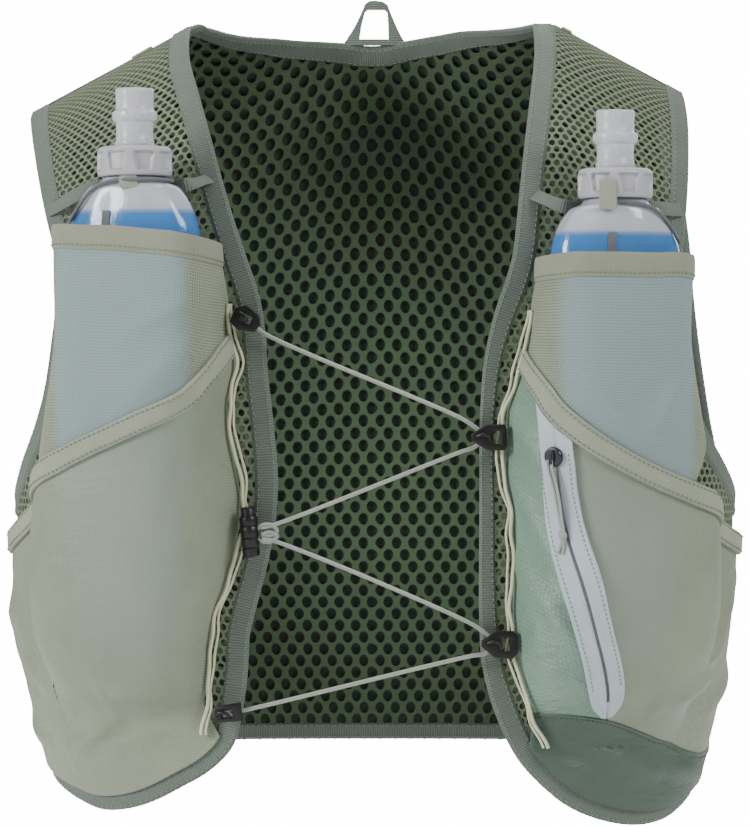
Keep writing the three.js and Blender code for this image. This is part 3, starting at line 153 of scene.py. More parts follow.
EDGE_CORD_RIGHT = table("down turn",
                        (0.374, 17.9), (0.414, 17.3), (0.456, 16.0), (0.495, 14.4), (0.549, 13.9),
                        (0.603, 14.8), (0.672, 15.7), (0.740, 15.5), (0.775, 15.8), (0.812, 16.6),
                        (0.851, 18.4), (0.889, 20.6), (0.922, 23.4))
ZIP = table("down turn wide",
            (0.539, 21.6, 1), (0.560, 21.9, 1), (0.609, 22.9, 1), (0.685, 24.8, 1), (0.772, 27.8, 1),
            (0.840, 31.2, 1), (0.858, 32.2, 0.8), (0.872, 33.0, 0.3))
FLAP_TOP = table("down turn",
                 (0.882, 20.6), (0.877, 24), (0.878, 29), (0.886, 35), (0.902, 42.5), (0.920, 51.5),
                 (0.936, 61), (0.945, 74), (0.936, 88), (0.918, 99.6))
BULGE_LEFT = table("down inner outer high square",
                   (0.15, 18.6, 47.4, 1.00, 9), (0.30, 18.4, 47.2, 1.00, 9), (0.40, 16.6, 49, 1.00, 6.5),
                   (0.50, 16.2, 54, 0.99, 5.2), (0.62, 15.8, 60, 0.95, 4.8), (0.74, 18.0, 61, 0.90, 6.5),
                   (0.82, 18.5, 60, 0.66, 6), (0.875, 20.5, 58, 0.16, 3.4), (0.91, 22.5, 58, 0.00, 2.4))
BULGE_RIGHT = table("down inner outer high square",
                    (0.15, 19.0, 46.4, 1.00, 9), (0.30, 18.8, 46.2, 1.00, 9), (0.40, 17.2, 47.4, 1.00, 6.5),
                    (0.50, 15.4, 53, 0.99, 5.2), (0.62, 15.6, 60, 0.95, 4.8), (0.74, 16.6, 61, 0.91, 6.5),
                    (0.84, 18.4, 60, 0.68, 6), (0.895, 21.0, 58, 0.16, 3.4), (0.92, 22.5, 58, 0.00, 2.4))
# A soft flask from its neck down, as shares of its length, half width and half depth
FLASK = table("down wide deep out",
              (0.000, 0.42, 0.80, 1), (0.012, 0.50, 0.86, 1), (0.020, 0.64, 0.92, 1), (0.070, 0.86, 0.98, 1),
              (0.115, 0.94, 1.00, 1), (0.25, 0.97, 1.00, 1), (0.42, 0.96, 1.00, 1), (0.60, 0.90, 0.96, 0.98),
              (0.76, 0.79, 0.84, 0.90), (0.88, 0.66, 0.60, 0.74), (0.95, 0.54, 0.36, 0.56),
              (1.000, 0.38, 0.12, 0.42))


class Side:
    """One front half of the vest, with its own lines and places."""

    def __init__(self, name, sign, **lines):
        self.name = name
        self.sign = sign
        vars(self).update(lines)


# Pocket foot and side: down, turn. Strap: its outer turn and down, then its inner ones.
# Retention: share of the flask, angle round it, lift. Tab: turn, down, width, height, spin.
# Folds: as fold_lines reads them.
LEFT = Side("left", -1, edge=FRONT_EDGE_LEFT, armhole=ARMHOLE_LEFT, armhole_back=ARMHOLE_BACK_LEFT,
            rim=RIM_LEFT, tape=TAPE_LEFT, cord=EDGE_CORD_LEFT, bulge=BULGE_LEFT, neck_top=-81.5,
            pocket_foot=(0.418, 17.4),
            pocket_side=((0.29, 47.0), (0.33, 47.4), (0.40, 48.7), (0.48, 51.6)), pocket_outer=53.5,
            inner_from=0.33, strap=(54.6, 0.195, 19.6, 0.212), tab=(33, 0.004, 12, 6, 12),
            retention=((0.085, -62, 0), (0.05, -48, 0), (0.022, -35, 0), (0.009, -10, 1), (0.007, 25, 1),
                       (0.007, 62, 1), (0.007, 100, 1)),
            pocket_folds=((20, 0.36, 30, 0.40, 4, 0.6), (44, 0.44, 33, 0.50, 6, 0.9),
                          (22, 0.42, 31, 0.49, 5, 0.7)),
            lower_folds=((59, 0.94, 41, 0.885, 6, 2.2), (80, 0.80, 55, 0.87, 8, 2.0),
                         (92, 0.74, 66, 0.80, 8, 1.6), (70, 0.93, 88, 0.90, 6, 1.4),
                         (30, 0.90, 46, 0.925, 5, 1.0), (64, 0.68, 58, 0.78, 7, 1.2),
                         (24, 0.50, 27, 0.62, 6, 0.6), (23, 0.852, 41, 0.846, 4, 1.3),
                         (85, 0.70, 80, 0.86, 7, 1.2)))
RIGHT = Side("right", 1, edge=FRONT_EDGE_RIGHT, armhole=ARMHOLE_RIGHT, armhole_back=ARMHOLE_BACK_RIGHT,
             rim=RIM_RIGHT, tape=TAPE_RIGHT, cord=EDGE_CORD_RIGHT, bulge=BULGE_RIGHT, neck_top=-92.5,
             pocket_foot=(0.433, 18.0), pocket_side=((0.32, 45.7), (0.36, 46.5), (0.42, 47.7), (0.49, 51.0)),
             pocket_outer=50.0, inner_from=0.37, strap=(48.6, 0.205, 18.6, 0.232), tab=(25, 0.004, 6, 5, -12),
             retention=((0.085, 62, 0), (0.05, 50, 0), (0.022, 35, 0), (0.008, 5, 1), (0.008, -40, 1)),
             pocket_folds=((21, 0.345, 22.5, 0.46, 2.5, 0.8), (42, 0.44, 34, 0.53, 6, 0.9),
                           (25, 0.46, 33, 0.54, 5, 0.7)),
             lower_folds=((44, 0.865, 74, 0.79, 5, 2.2), (80, 0.72, 62, 0.82, 8, 1.8),
                          (92, 0.83, 72, 0.88, 6, 1.6), (62, 0.68, 57, 0.78, 7, 1.2),
                          (36, 0.62, 38, 0.74, 9, 0.7)))
SIDES = (LEFT, RIGHT)


# The form and lines on it.
def column(rows, key, down):
    """Smooth value of one column at a share down."""
    xs = rows["down"]
    ys = rows[key]
    last = len(xs) - 1
    low = np.maximum(np.arange(last + 1) - 1, 0)
    high = np.minimum(np.arange(last + 1) + 1, last)
    slopes = (ys[high] - ys[low]) / (xs[high] - xs[low])
    d = np.clip(down, xs[0], xs[-1])
    i = np.clip(np.searchsorted(xs, d) - 1, 0, last - 1)
    span = xs[i + 1] - xs[i]
    t = (d - xs[i]) / span
    ease = t * t * (3 - 2 * t)
    return (ys[i] * (1 - ease) + ys[i + 1] * ease
            + span * (slopes[i] * t * (1 - t) ** 2 - slopes[i + 1] * t * t * (1 - t)))


def body_point(turn, drop):
    """A point of the body form from the turn round it and the drop below the shoulder."""
    around = np.radians(np.abs(turn))
    front = np.abs(turn) <= 90
    share = drop / FRONT_DROP
    depth = np.where(front, CHEST_FRONT_DEPTH * column(BODY, "front", share),
                     CHEST_BACK_DEPTH * column(BODY, "back", share))
    arch = np.where(front, FRONT_ARCH, BACK_ARCH)
    swell = np.sqrt(np.clip(1 - np.clip(1 - drop / arch, 0, None) ** 2, 0, None))
    power = 2 / BODY_SQUARENESS
    x = np.sign(turn) * CHEST_HALF_WIDTH * column(BODY, "wide", share) * np.abs(np.sin(around)) ** power
    y = np.where(front, -1, 1) * depth * swell * np.abs(np.cos(around)) ** power
    rise = SHOULDER_RISE - SHOULDER_SLOPE * np.clip(np.abs(x) - SHOULDER_FLAT, 0, None)
    nape = NAPE_RISE * np.cos((math.pi / 2) * np.clip(np.abs(x) / NAPE_HALF_WIDTH, 0, 1)) ** 2
    rise = rise + np.where(front, 0, nape)
    z = rise * np.clip(1 - drop / SHOULDER_FADE, 0, None) ** 2 - drop
    return np.stack([x, y, z], axis=-1)


def run_of_down(down):
    down = np.asarray(down, float)
    arch = np.where(down < 0, BACK_ARCH, FRONT_ARCH)
    drop = np.abs(down) * FRONT_DROP
    curved = arch * np.arccos(np.clip(1 - drop / arch, -1, 1))
    run = np.where(drop >= arch, math.pi / 2 * arch + drop - arch, curved)
    return np.where(down < 0, -run, run)


def drop_of_run(run, arch):
    quarter = math.pi / 2 * arch
    curved = arch * (1 - np.cos(np.clip(run / arch, 0, math.pi / 2)))
    return np.where(run >= quarter, arch + run - quarter, curved)


def outward(side, yaw=FLASK_YAW):
    angle = np.radians(yaw)
    return np.stack([side.sign * np.sin(angle), -np.cos(angle), np.zeros_like(angle)], axis=-1)


def bulge(side, turn, down):
    """How far a pocket stands off the body, from a foot that keeps clear of the edge cord."""
    inner = np.maximum(column(side.bulge, "inner", down), column(side.cord, "turn", down) + FOOT_MARGIN)
    outer = column(side.bulge, "outer", down)
    across = np.clip((np.abs(turn) - inner) / (outer - inner), 0, 1)
    square = column(side.bulge, "square", down)
    profile = np.clip(1 - np.abs(2 * across - 1) ** square, 0, 1) ** FOOT_SOFTNESS
    height = POCKET_BULGE * column(side.bulge, "high", down) * profile
    return outward(side, FLASK_YAW * np.minimum(1, 2 * across)) * height[..., None]


def cloth_point(side, turn, run):
    turn, run = np.broadcast_arrays(np.asarray(turn, float), np.asarray(run, float))
    behind = run < 0
    drop = drop_of_run(np.abs(run), np.where(behind, BACK_ARCH, FRONT_ARCH))
    point = body_point(np.where(behind, np.where(turn < 0, -1, 1) * (180 - np.abs(turn)), turn), drop)
    if side:
        point = point + np.where(behind, 0, 1)[..., None] * bulge(side, turn, drop / FRONT_DROP)
    return point


def unit(v):
    return v / np.maximum(np.linalg.norm(v, axis=-1, keepdims=True), 1e-9)


PROBE_TURN = 0.4
PROBE_RUN = 1.5


def cloth_normal(side, turn, run):
    turn = np.asarray(turn, float)
    run = np.asarray(run, float)
    a = cloth_point(side, turn + PROBE_TURN, run) - cloth_point(side, turn - PROBE_TURN, run)
    d = cloth_point(side, turn, run + PROBE_RUN) - cloth_point(side, turn, run - PROBE_RUN)
    return unit(np.cross(d, a))


def on_cloth(side, turn, run, lift):
    lift = np.asarray(lift, float)
    return cloth_point(side, turn, run) + cloth_normal(side, turn, run) * lift[..., None]


def laid(side, places, lift):
    """Points at a lift over places on the cloth."""
    return on_cloth(side, places[..., 0], places[..., 1], lift)


def normals_at(side, places):
    return cloth_normal(side, places[..., 0], places[..., 1])


def smooth_curve(points, closed=False, per=16):
    """A smooth curve through points, sampled finely."""
    p = np.asarray(points, float)
    if closed:
        ext = np.vstack([p[-1:], p, p[:2]])
    else:
        ext = np.vstack([2 * p[:1] - p[1:2], p, 2 * p[-1:] - p[-2:-1]])
    t = np.linspace(0, 1, per, endpoint=False)[:, None]
    out = []
    for i in range(1, len(ext) - 2):
        p0, p1, p2, p3 = ext[i - 1:i + 3]
        d0 = max(np.linalg.norm(p1 - p0), 1e-6) ** 0.5
        d1 = max(np.linalg.norm(p2 - p1), 1e-6) ** 0.5
        d2 = max(np.linalg.norm(p3 - p2), 1e-6) ** 0.5
        t1 = ((p1 - p0) / d0 - (p2 - p0) / (d0 + d1) + (p2 - p1) / d1) * d1
        t2 = ((p2 - p1) / d1 - (p3 - p1) / (d1 + d2) + (p3 - p2) / d2) * d1
        start = p1 + t1 * t + (3 * p2 - 3 * p1 - 2 * t1 - t2) * t ** 2
        out.append(start + (2 * p1 - 2 * p2 + t1 + t2) * t ** 3)
    out.append(ext[-2:-1])
    return np.vstack(out)


def lengths_along(points):
    steps = np.linalg.norm(np.diff(points, axis=0), axis=1)
    return np.concatenate([[0], np.cumsum(steps)])


def resample(values, lengths, count):
    wanted = np.linspace(0, lengths[-1], count + 1)
    return np.stack([np.interp(wanted, lengths, values[:, k]) for k in range(values.shape[1])], axis=1)


TURN_LENGTH = 2.6
FLAT = np.array([TURN_LENGTH, 1, 1])


def even(places, steps):
    """Even places (turn, run, wide) through given ones."""
    fine = smooth_curve(np.asarray(places, float) * FLAT)
    return resample(fine, lengths_along(fine), steps) / FLAT


def placed(side, downs, turns, wide=None):
    wide = np.ones(len(downs)) if wide is None else wide
    return np.stack([side.sign * np.asarray(turns, float), run_of_down(downs), wide], axis=1)


def line(side, rows, steps):
    return even(placed(side, rows["down"], rows["turn"], rows.get("wide")), steps)


def beside(places, side, distance):
    """The same line moved sideways along the cloth, towards the viewer's right on a line that runs down."""
    turn, run, wide = places.T
    ahead = np.gradient(cloth_point(side, turn, run), axis=0)
    away = unit(np.cross(cloth_normal(side, turn, run), ahead)) * np.asarray(distance, float)[..., None]
    per_turn = cloth_point(side, turn + PROBE_TURN, run) - cloth_point(side, turn - PROBE_TURN, run)
    per_turn = per_turn / (2 * PROBE_TURN)
    per_run = cloth_point(side, turn, run + PROBE_RUN) - cloth_point(side, turn, run - PROBE_RUN)
    per_run = per_run / (2 * PROBE_RUN)
    tt = np.sum(per_turn * per_turn, axis=1)
    tr = np.sum(per_turn * per_run, axis=1)
    rr = np.sum(per_run * per_run, axis=1)
    at = np.sum(away * per_turn, axis=1)
    ar = np.sum(away * per_run, axis=1)
    det = tt * rr - tr * tr
    return np.stack([turn + (at * rr - ar * tr) / det, run + (ar * tt - at * tr) / det, wide], axis=1)


def spread(side, places, steps):
    """The same line with its places at equal distances along the cloth."""
    return resample(places, lengths_along(cloth_point(side, places[:, 0], places[:, 1])), steps)


def patch(top, bottom, first, last):
    """Places that fill four border lines."""
    u = np.linspace(0, 1, len(top))[None, :, None]
    v = np.linspace(0, 1, len(first))[:, None, None]
    corners = (1 - v) * ((1 - u) * top[0] + u * top[-1]) + v * ((1 - u) * bottom[0] + u * bottom[-1])
    return (1 - v) * top[None] + v * bottom[None] + (1 - u) * first[:, None] + u * last[:, None] - corners


# Meshes.
def piece(name, verts, faces, uv=None, angle=50, masks=None):
    """A mesh object at the origin from points in millimetres."""
    mesh = bpy.data.meshes.new(name)
    mesh.from_pydata((np.asarray(verts, float) * MM).tolist(), [], faces)
    mesh.update()
    corner = np.empty(len(mesh.loops), dtype=np.int32)
    mesh.loops.foreach_get("vertex_index", corner)
    if uv is not None:
        layer = mesh.uv_layers.new(name="cloth")
        layer.data.foreach_set("uv", np.asarray(uv, float)[corner].ravel())
    for key, values in (masks or {}).items():
        attribute = mesh.attributes.new(key, "FLOAT", "POINT")
        attribute.data.foreach_set("value", np.asarray(values, float).ravel())
    mesh.polygons.foreach_set("use_smooth", [True] * len(mesh.polygons))
    mesh.set_sharp_from_angle(angle=math.radians(angle))
    obj = bpy.data.objects.new(name, mesh)
    bpy.context.scene.collection.objects.link(obj)
    face_out(mesh)
    return obj


def face_out(mesh):
    """Turns a closed mesh's faces outwards if they point in."""
    mesh.calc_loop_triangles()
    tris = np.empty(len(mesh.loop_triangles) * 3, dtype=np.int32)
    mesh.loop_triangles.foreach_get("vertices", tris)
    co = np.empty(len(mesh.vertices) * 3)
    mesh.vertices.foreach_get("co", co)
    a, b, c = co.reshape(-1, 3)[tris.reshape(-1, 3)].transpose(1, 0, 2)
    if np.sum(a * np.cross(b, c)) < 0:
        mesh.flip_normals()


def dress(obj, body, slot, material, *nodes):
    obj.data.materials.clear()
    obj.data.materials.append(material)
    if nodes:
        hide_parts(*nodes)
    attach(obj, body)
    return obj


def grid_faces(rows, cols, start=0, flip=False):
    r, c = np.meshgrid(np.arange(rows - 1), np.arange(cols - 1), indexing="ij")
    a = (start + r * cols + c).ravel()
    quads = np.stack([a, a + cols, a + cols + 1, a + 1], axis=1)
    return quads[:, ::-1].tolist() if flip else quads.tolist()


def border_loop(rows, cols):
    top = np.arange(cols)
    right = np.arange(1, rows) * cols + cols - 1
    bottom = (rows - 1) * cols + np.arange(cols - 2, -1, -1)
    left = np.arange(rows - 2, 0, -1) * cols
    return np.concatenate([top, right, bottom, left])


def cloth_wall(name, outer, inner, masks=None):
    """A closed wall between two grids of points, with rounded edges and a UV map in centimetres."""
    rows, cols = outer.shape[:2]
    across = np.linalg.norm(np.diff(outer, axis=1), axis=2)
    along = np.linalg.norm(np.diff(outer, axis=0), axis=2)
    u = np.concatenate([np.zeros((rows, 1)), np.cumsum(across, axis=1)], axis=1)
    v = np.concatenate([np.zeros((1, cols)), np.cumsum(along, axis=0)])
    uv = np.stack([u, v], axis=-1).reshape(-1, 2) / 10
    count = rows * cols
    loop = border_loop(rows, cols)
    middle = (outer.reshape(-1, 3)[loop] + inner.reshape(-1, 3)[loop]) / 2
    away = unit(middle - outer.reshape(-1, 3).mean(axis=0))
    thick = np.linalg.norm(outer[0, 0] - inner[0, 0])
    middle = middle + away * thick * 0.35
    verts = np.vstack([outer.reshape(-1, 3), inner.reshape(-1, 3), middle])
    faces = grid_faces(rows, cols) + grid_faces(rows, cols, count, True)
    for i, a in enumerate(loop):
        j = (i + 1) % len(loop)
        b = loop[j]
        faces.append([a, b, 2 * count + j, 2 * count + i])
        faces.append([2 * count + i, 2 * count + j, count + b, count + a])
    faces = [[int(k) for k in f] for f in faces]
    uvs = np.vstack([uv, uv, uv[loop]])
    shown = {key: np.concatenate([m.ravel(), m.ravel(), m.ravel()[loop]]) for key, m in (masks or {}).items()}
    return piece(name, verts, faces, uvs, masks=shown)


def cloth_sheet(name, side, places, lift, thick, dents=None, masks=None):
    """Cloth over a grid of places, with dents that move it along its normal."""
    turn, run = places[..., 0], places[..., 1]
    relief = dents(turn, run) if dents else np.zeros(turn.shape)
    outer = laid(side, places, lift + relief)
    inner = laid(side, places, lift + relief - thick)
    shown = masks(outer) if masks else None
    obj = cloth_wall(name, outer, inner, shown)
    width = np.linalg.norm(np.diff(outer, axis=1), axis=2).sum(axis=1).max() * MM
    length = np.linalg.norm(np.diff(outer, axis=0), axis=2).sum(axis=0).max() * MM
    diagonals = np.cross(outer[1:, 1:] - outer[:-1, :-1], outer[1:, :-1] - outer[:-1, 1:])
    area = np.linalg.norm(diagonals, axis=-1).sum() / 2 * MM * MM
    return obj, (float(width), float(length)), float(min(area, width * length))


def sewn_sheet(node, side, places, slot, material, lift=POCKET_LIFT, thick=POCKET_THICK, dents=None,
               masks=None):
    """A stretched piece of cloth in the place of a CAD node."""
    obj, flat, area = cloth_sheet(f"{node}_cloth", side, places, lift, thick, dents, masks)
    dress(obj, VEST, slot, material, node)


def band_wall(name, side, lines, tops, under):
    """A closed wall over lines of places that run side by side, each with the lift of its top."""
    outer = np.stack([laid(side, places, top) for places, top in zip(lines, tops)], axis=1)
    inner = np.stack([laid(side, places, under) for places in lines], axis=1)
    return cloth_wall(name, outer, inner)


def tube_faces(rings, sides, closed=False, flip=False):
    """Faces round rings of points, with both ends filled unless the last ring meets the first."""
    faces = []
    for i in range(rings if closed else rings - 1):
        low = i * sides
        high = (i + 1) % rings * sides
        for k in range(sides):
            q = (k + 1) % sides
            face = [low + k, low + q, high + q, high + k]
            faces.append([face[0]] + face[:0:-1] if flip else face)
    if not closed:
        first = list(range(sides))
        last = [(rings - 1) * sides + k for k in range(sides)]
        faces += [first, last[::-1]] if flip else [first[::-1], last]
    return faces


def frames_along(points, normals=None):
    """Unit tangents, normals and sideways vectors along a line of points."""
    tangents = unit(np.gradient(points, axis=0))
    if normals is None:
        normals = np.zeros_like(points)
        start = np.array([0, 0, 1.0]) if abs(tangents[0][2]) < 0.9 else np.array([0, 1.0, 0])
        n = unit(start - tangents[0] * np.dot(start, tangents[0]))
        for i, t in enumerate(tangents):
            n = unit(n - t * np.dot(n, t))
            normals[i] = n
    normals = unit(normals - tangents * np.sum(normals * tangents, axis=1, keepdims=True))
    return tangents, normals, np.cross(tangents, normals)


def sweep(name, points, normals, section, closed=False):
    """A section of (sideways, along the normal) offsets carried along points. UV is in centimetres."""
    _, up, across = frames_along(points, normals)
    section = np.asarray(section, float)
    if section.ndim == 2:
        section = np.repeat(section[None], len(points), axis=0)
    rings = points[:, None] + across[:, None] * section[..., :1] + up[:, None] * section[..., 1:]
    n, m = rings.shape[:2]
    along = lengths_along(points) / 10
    round_it = np.concatenate([[0], np.cumsum(np.linalg.norm(np.diff(section[0], axis=0), axis=1))]) / 10
    uv = np.stack(np.meshgrid(along, round_it, indexing="ij"), axis=-1).reshape(-1, 2)
    return piece(name, rings.reshape(-1, 3), tube_faces(n, m, closed, flip=True), uv)


def flat_section(width, thick, columns=9):
    """A soft flat section: a strap with rounded edges."""
    t = np.linspace(-1, 1, columns)
    half = thick / 2 * (1 - 0.7 * np.abs(t) ** 8)
    top = np.stack([t * width / 2, half], axis=1)
    bottom = np.stack([t[::-1] * width / 2, -half[::-1]], axis=1)
    return np.vstack([top, bottom])


def round_section(diameter, sides=10):
    a = np.arange(sides) * 2 * math.pi / sides
    return np.stack([np.cos(a), np.sin(a)], axis=1) * diameter / 2


def cord(name, route, diameter, spacing=1.6, sides=10):
    fine = smooth_curve(route, per=24)
    points = resample(fine, lengths_along(fine), max(8, int(lengths_along(fine)[-1] / spacing)))
    obj = sweep(name, points, None, round_section(diameter, sides))
    return obj, points


def stitches(name, points, normals, pitch=3.2, length=2.3, width=0.75, slant=0.0):
    """A row of sewn stitches: small grains of thread along a line."""
    total = lengths_along(points)
    count = max(2, int(total[-1] / pitch))
    centres = resample(points, total, count)
    ups = unit(resample(normals, total, count))
    tangents, ups, across = frames_along(centres, ups)
    direction = unit(tangents + across * slant)
    side_ways = np.cross(direction, ups)
    sides = 5
    verts = []
    faces = []
    angles = np.arange(sides) * 2 * math.pi / sides
    for c, d, n, s in zip(centres, direction, ups, side_ways):
        base = len(verts)
        low = base + 1
        high = low + sides
        verts.append(c - d * length / 2)
        for end in (-0.28, 0.28):
            for a in angles:
                verts.append(c + d * length * end + (s * math.cos(a) + n * math.sin(a) * 0.7) * width / 2)
        verts.append(c + d * length / 2)
        for k in range(sides):
            q = (k + 1) % sides
            faces.append([base, low + q, low + k])
            faces.append([low + k, low + q, high + q, high + k])
            faces.append([high + k, high + q, high + sides])
    return piece(name, np.array(verts), faces, angle=180)


def stitch_line(name, side, places, lift, material, slot="binding", **kw):
    row = stitches(name, laid(side, places, lift), normals_at(side, places), **kw)
    return dress(row, VEST, slot, material)


def inside(points, polygon):
    """Which points lie in a polygon."""
    x, y = points.T
    hit = np.zeros(len(points), bool)
    for (x0, y0), (x1, y1) in zip(polygon, np.roll(polygon, -1, axis=0)):
        crosses = (y0 > y) != (y1 > y)
        with np.errstate(divide="ignore", invalid="ignore"):
            hit ^= crosses & (x < (x1 - x0) * (y - y0) / (y1 - y0) + x0)
    return hit


def pierced(name, polygon, pitch, row, hole, to_cloth, lift, thick, sides=12):
    """Cloth over a flat polygon with staggered holes of 12 or 6 sides, laid on the body by to_cloth."""
    low = polygon.min(axis=0)
    high = polygon.max(axis=0)
    rows = np.arange(int((high[1] - low[1]) / row) + 2)
    cols = np.arange(int((high[0] - low[0]) / pitch) + 2)
    j, i = np.meshgrid(rows, cols, indexing="ij")
    centres = np.stack([low[0] + (i + (j % 2) / 2) * pitch, low[1] + j * row], axis=-1).reshape(-1, 2)
    centres = centres[inside(centres, polygon)]
    tip = (pitch ** 2 / 4 + row ** 2) / (2 * row)
    shoulder = row - tip
    half = pitch / 2
    corner = np.array([(0, tip), (half, shoulder), (half, -shoulder), (0, -tip), (-half, -shoulder),
                       (-half, shoulder)])
    middle = (corner + np.roll(corner, -1, axis=0)) / 2
    directions = unit(np.stack([corner, middle], axis=1).reshape(-1, 2) if sides == 12 else corner)
    rim = directions * np.array(hole) / 2
    hexes = centres[:, None] + corner
    flat, index = np.unique(np.round(hexes.reshape(-1, 2), 3), axis=0, return_inverse=True)
    index = index.reshape(-1, 6)
    n = len(centres)
    holes = (centres[:, None] + rim).reshape(-1, 2)
    hole_index = len(flat) + np.arange(n * sides).reshape(n, sides)
    plane = np.vstack([flat, holes])
    count = len(plane)
    tris = []
    for k in range(6):
        a = index[:, k]
        b = index[:, (k + 1) % 6]
        h0 = hole_index[:, k * sides // 6]
        h1 = hole_index[:, (k * sides // 6 + 1) % sides]
        tris += [np.stack([a, b, h1], axis=1), np.stack([a, h1, h0], axis=1)]
        if sides == 12:
            tris.append(np.stack([b, hole_index[:, (2 * k + 2) % 12], h1], axis=1))
    tris = np.vstack(tris)
    walls = []
    for k in range(sides):
        here = hole_index[:, k]
        ahead = hole_index[:, (k + 1) % sides]
        walls.append(np.stack([here, ahead, ahead + count, here + count], axis=1))
    edges = np.vstack([np.stack([index[:, k], index[:, (k + 1) % 6]], axis=1) for k in range(6)])
    keys = edges[:, 0].astype(np.int64) * count + edges[:, 1]
    reverse = edges[:, 1].astype(np.int64) * count + edges[:, 0]
    lone = edges[~np.isin(keys, reverse)]
    rims = np.stack([lone[:, 1], lone[:, 0], lone[:, 0] + count, lone[:, 1] + count], axis=1)
    verts = np.vstack([to_cloth(plane, lift), to_cloth(plane, lift - thick)])
    faces = tris.tolist() + (tris[:, ::-1] + count).tolist() + np.vstack(walls).tolist() + rims.tolist()
    uv = np.vstack([plane, plane]) / 10
    return piece(name, verts, faces, uv, angle=60)


def plate(name, outline, thick, holes=(), bevel=0.45, to_place=None):
    """A flat plate with rounded edges, cut from an outline."""
    curve = bpy.data.curves.new(name, "CURVE")
    curve.dimensions = "2D"
    curve.fill_mode = "BOTH"
    for ring in (outline,) + tuple(holes):
        spline = curve.splines.new("POLY")
        spline.points.add(len(ring) - 1)
        for point, (x, y) in zip(spline.points, ring):
            point.co = (x, y, 0, 1)
        spline.use_cyclic_u = True
    curve.offset = -bevel
    curve.extrude = thick / 2 - bevel
    curve.bevel_depth = bevel
    curve.bevel_resolution = 2
    carrier = bpy.data.objects.new(name + "_outline", curve)
    bpy.context.scene.collection.objects.link(carrier)
    bpy.context.view_layer.update()
    source = carrier.to_mesh()
    verts = np.array([v.co[:] for v in source.vertices])
    faces = [list(p.vertices) for p in source.polygons]
    carrier.to_mesh_clear()
    bpy.data.objects.remove(carrier)
    bpy.data.curves.remove(curve)
    verts[:, 2] += thick / 2
    if to_place is not None:
        verts = verts @ to_place[:3, :3].T + to_place[:3, 3]
    obj = piece(name, verts, faces, angle=35)
    merge_doubles(obj)
    return obj


def merge_doubles(obj):
    bpy.ops.object.select_all(action="DESELECT")
    obj.select_set(True)
    bpy.context.view_layer.objects.active = obj
    bpy.ops.object.mode_set(mode="EDIT")
    bpy.ops.mesh.select_all(action="SELECT")
    bpy.ops.mesh.remove_doubles(threshold=1e-6)
    bpy.ops.mesh.normals_make_consistent(inside=False)
    bpy.ops.object.mode_set(mode="OBJECT")
    obj.select_set(False)


def seat(side, turn, down, lift, spin=0.0):
    """A frame standing on the cloth: x to the viewer's right, y up along the cloth, z off the cloth."""
    run = float(run_of_down(down))
    z = cloth_normal(side, turn, run)
    y = unit(cloth_point(side, turn, run - PROBE_RUN) - cloth_point(side, turn, run + PROBE_RUN))
    x = unit(np.cross(y, z))
    y = np.cross(z, x)
    c = math.cos(math.radians(spin))
    s = math.sin(math.radians(spin))
    m = np.eye(4)
    m[:3, 0] = x * c + y * s
    m[:3, 1] = y * c - x * s
    m[:3, 2] = z
    m[:3, 3] = cloth_point(side, turn, run) + z * lift
    return m


def turned(name, profile, place, sides=64, dents=None):
    """A turned piece from (radius, height) points, with dents in its wall."""
    rows = np.array(profile, float)
    angles = np.arange(sides) * 2 * math.pi / sides
    r, a = np.meshgrid(rows[:, 0], angles, indexing="ij")
    h = np.repeat(rows[:, 1][:, None], sides, axis=1)
    if dents:
        r = r - dents(a, h, r)
    local = np.stack([r * np.cos(a), r * np.sin(a), h], axis=-1).reshape(-1, 3)
    verts = local @ place[:3, :3].T + place[:3, 3]
    return piece(name, verts, tube_faces(len(rows), sides), angle=40)


def upright(x, y, z):
    m = np.eye(4)
    m[:3, 3] = (x, y, z)
    return m


def facing_front(place):
    """A frame for a plate that stands upright and faces the viewer."""
    m = upright(*place)
    m[:3, 1] = (0, 0, 1)
    m[:3, 2] = (0, -1, 0)
    return m


def cut_corners(width, height, cut):
    """A rectangle's outline with its corners cut off."""
    x = width / 2
    y = height / 2
    return ((-x, -y + cut), (-x + cut, -y), (x - cut, -y), (x, -y + cut), (x, y - cut), (x - cut, y),
            (-x + cut, y), (-x, y - cut))


# Materials.
def hex_colour(code):
    parts = [int(code[i:i + 2], 16) / 255 for i in (1, 3, 5)]
    return tuple(c / 12.92 if c <= 0.04045 else ((c + 0.055) / 1.055) ** 2.4 for c in parts) + (1.0,)


MIX_FACTOR = 0
MIX_FIRST = 6
MIX_SECOND = 7
MIX_RESULT = 2


class Tree:
    """Short names for building a node tree."""

    def __init__(self, tree):
        self.tree = tree

    def put(self, node, values):
        """Links outputs to a node's sockets, and sets the other sockets' own values."""
        for key, value in values.items():
            if isinstance(value, bpy.types.NodeSocket):
                self.tree.links.new(value, node.inputs[key])
            else:
                node.inputs[key].default_value = value

    def node(self, kind, inputs=None, **settings):
        node = self.tree.nodes.new(kind)
        for key, value in settings.items():
            setattr(node, key, value)
        self.put(node, inputs or {})
        return node

    def use(self, group, **values):
        return self.node("ShaderNodeGroup", values, node_tree=group)

    def math(self, operation, a, b=0.0, clamp=False):
        return self.node("ShaderNodeMath", {0: a, 1: b}, operation=operation, use_clamp=clamp).outputs[0]

    def ridges(self, place, turns):
        """Rounded ridges across a coordinate."""
        return self.math("ABSOLUTE", self.math("SINE", self.math("MULTIPLY", place, turns)))

    def mix(self, factor, a, b, blend="MIX"):
        values = {MIX_FACTOR: factor, MIX_FIRST: a, MIX_SECOND: b}
        return self.node("ShaderNodeMix", values, data_type="RGBA", blend_type=blend).outputs[MIX_RESULT]

    def bump(self, height, strength, distance):
        return self.node("ShaderNodeBump", {"Height": height, "Strength": strength, "Distance": distance})


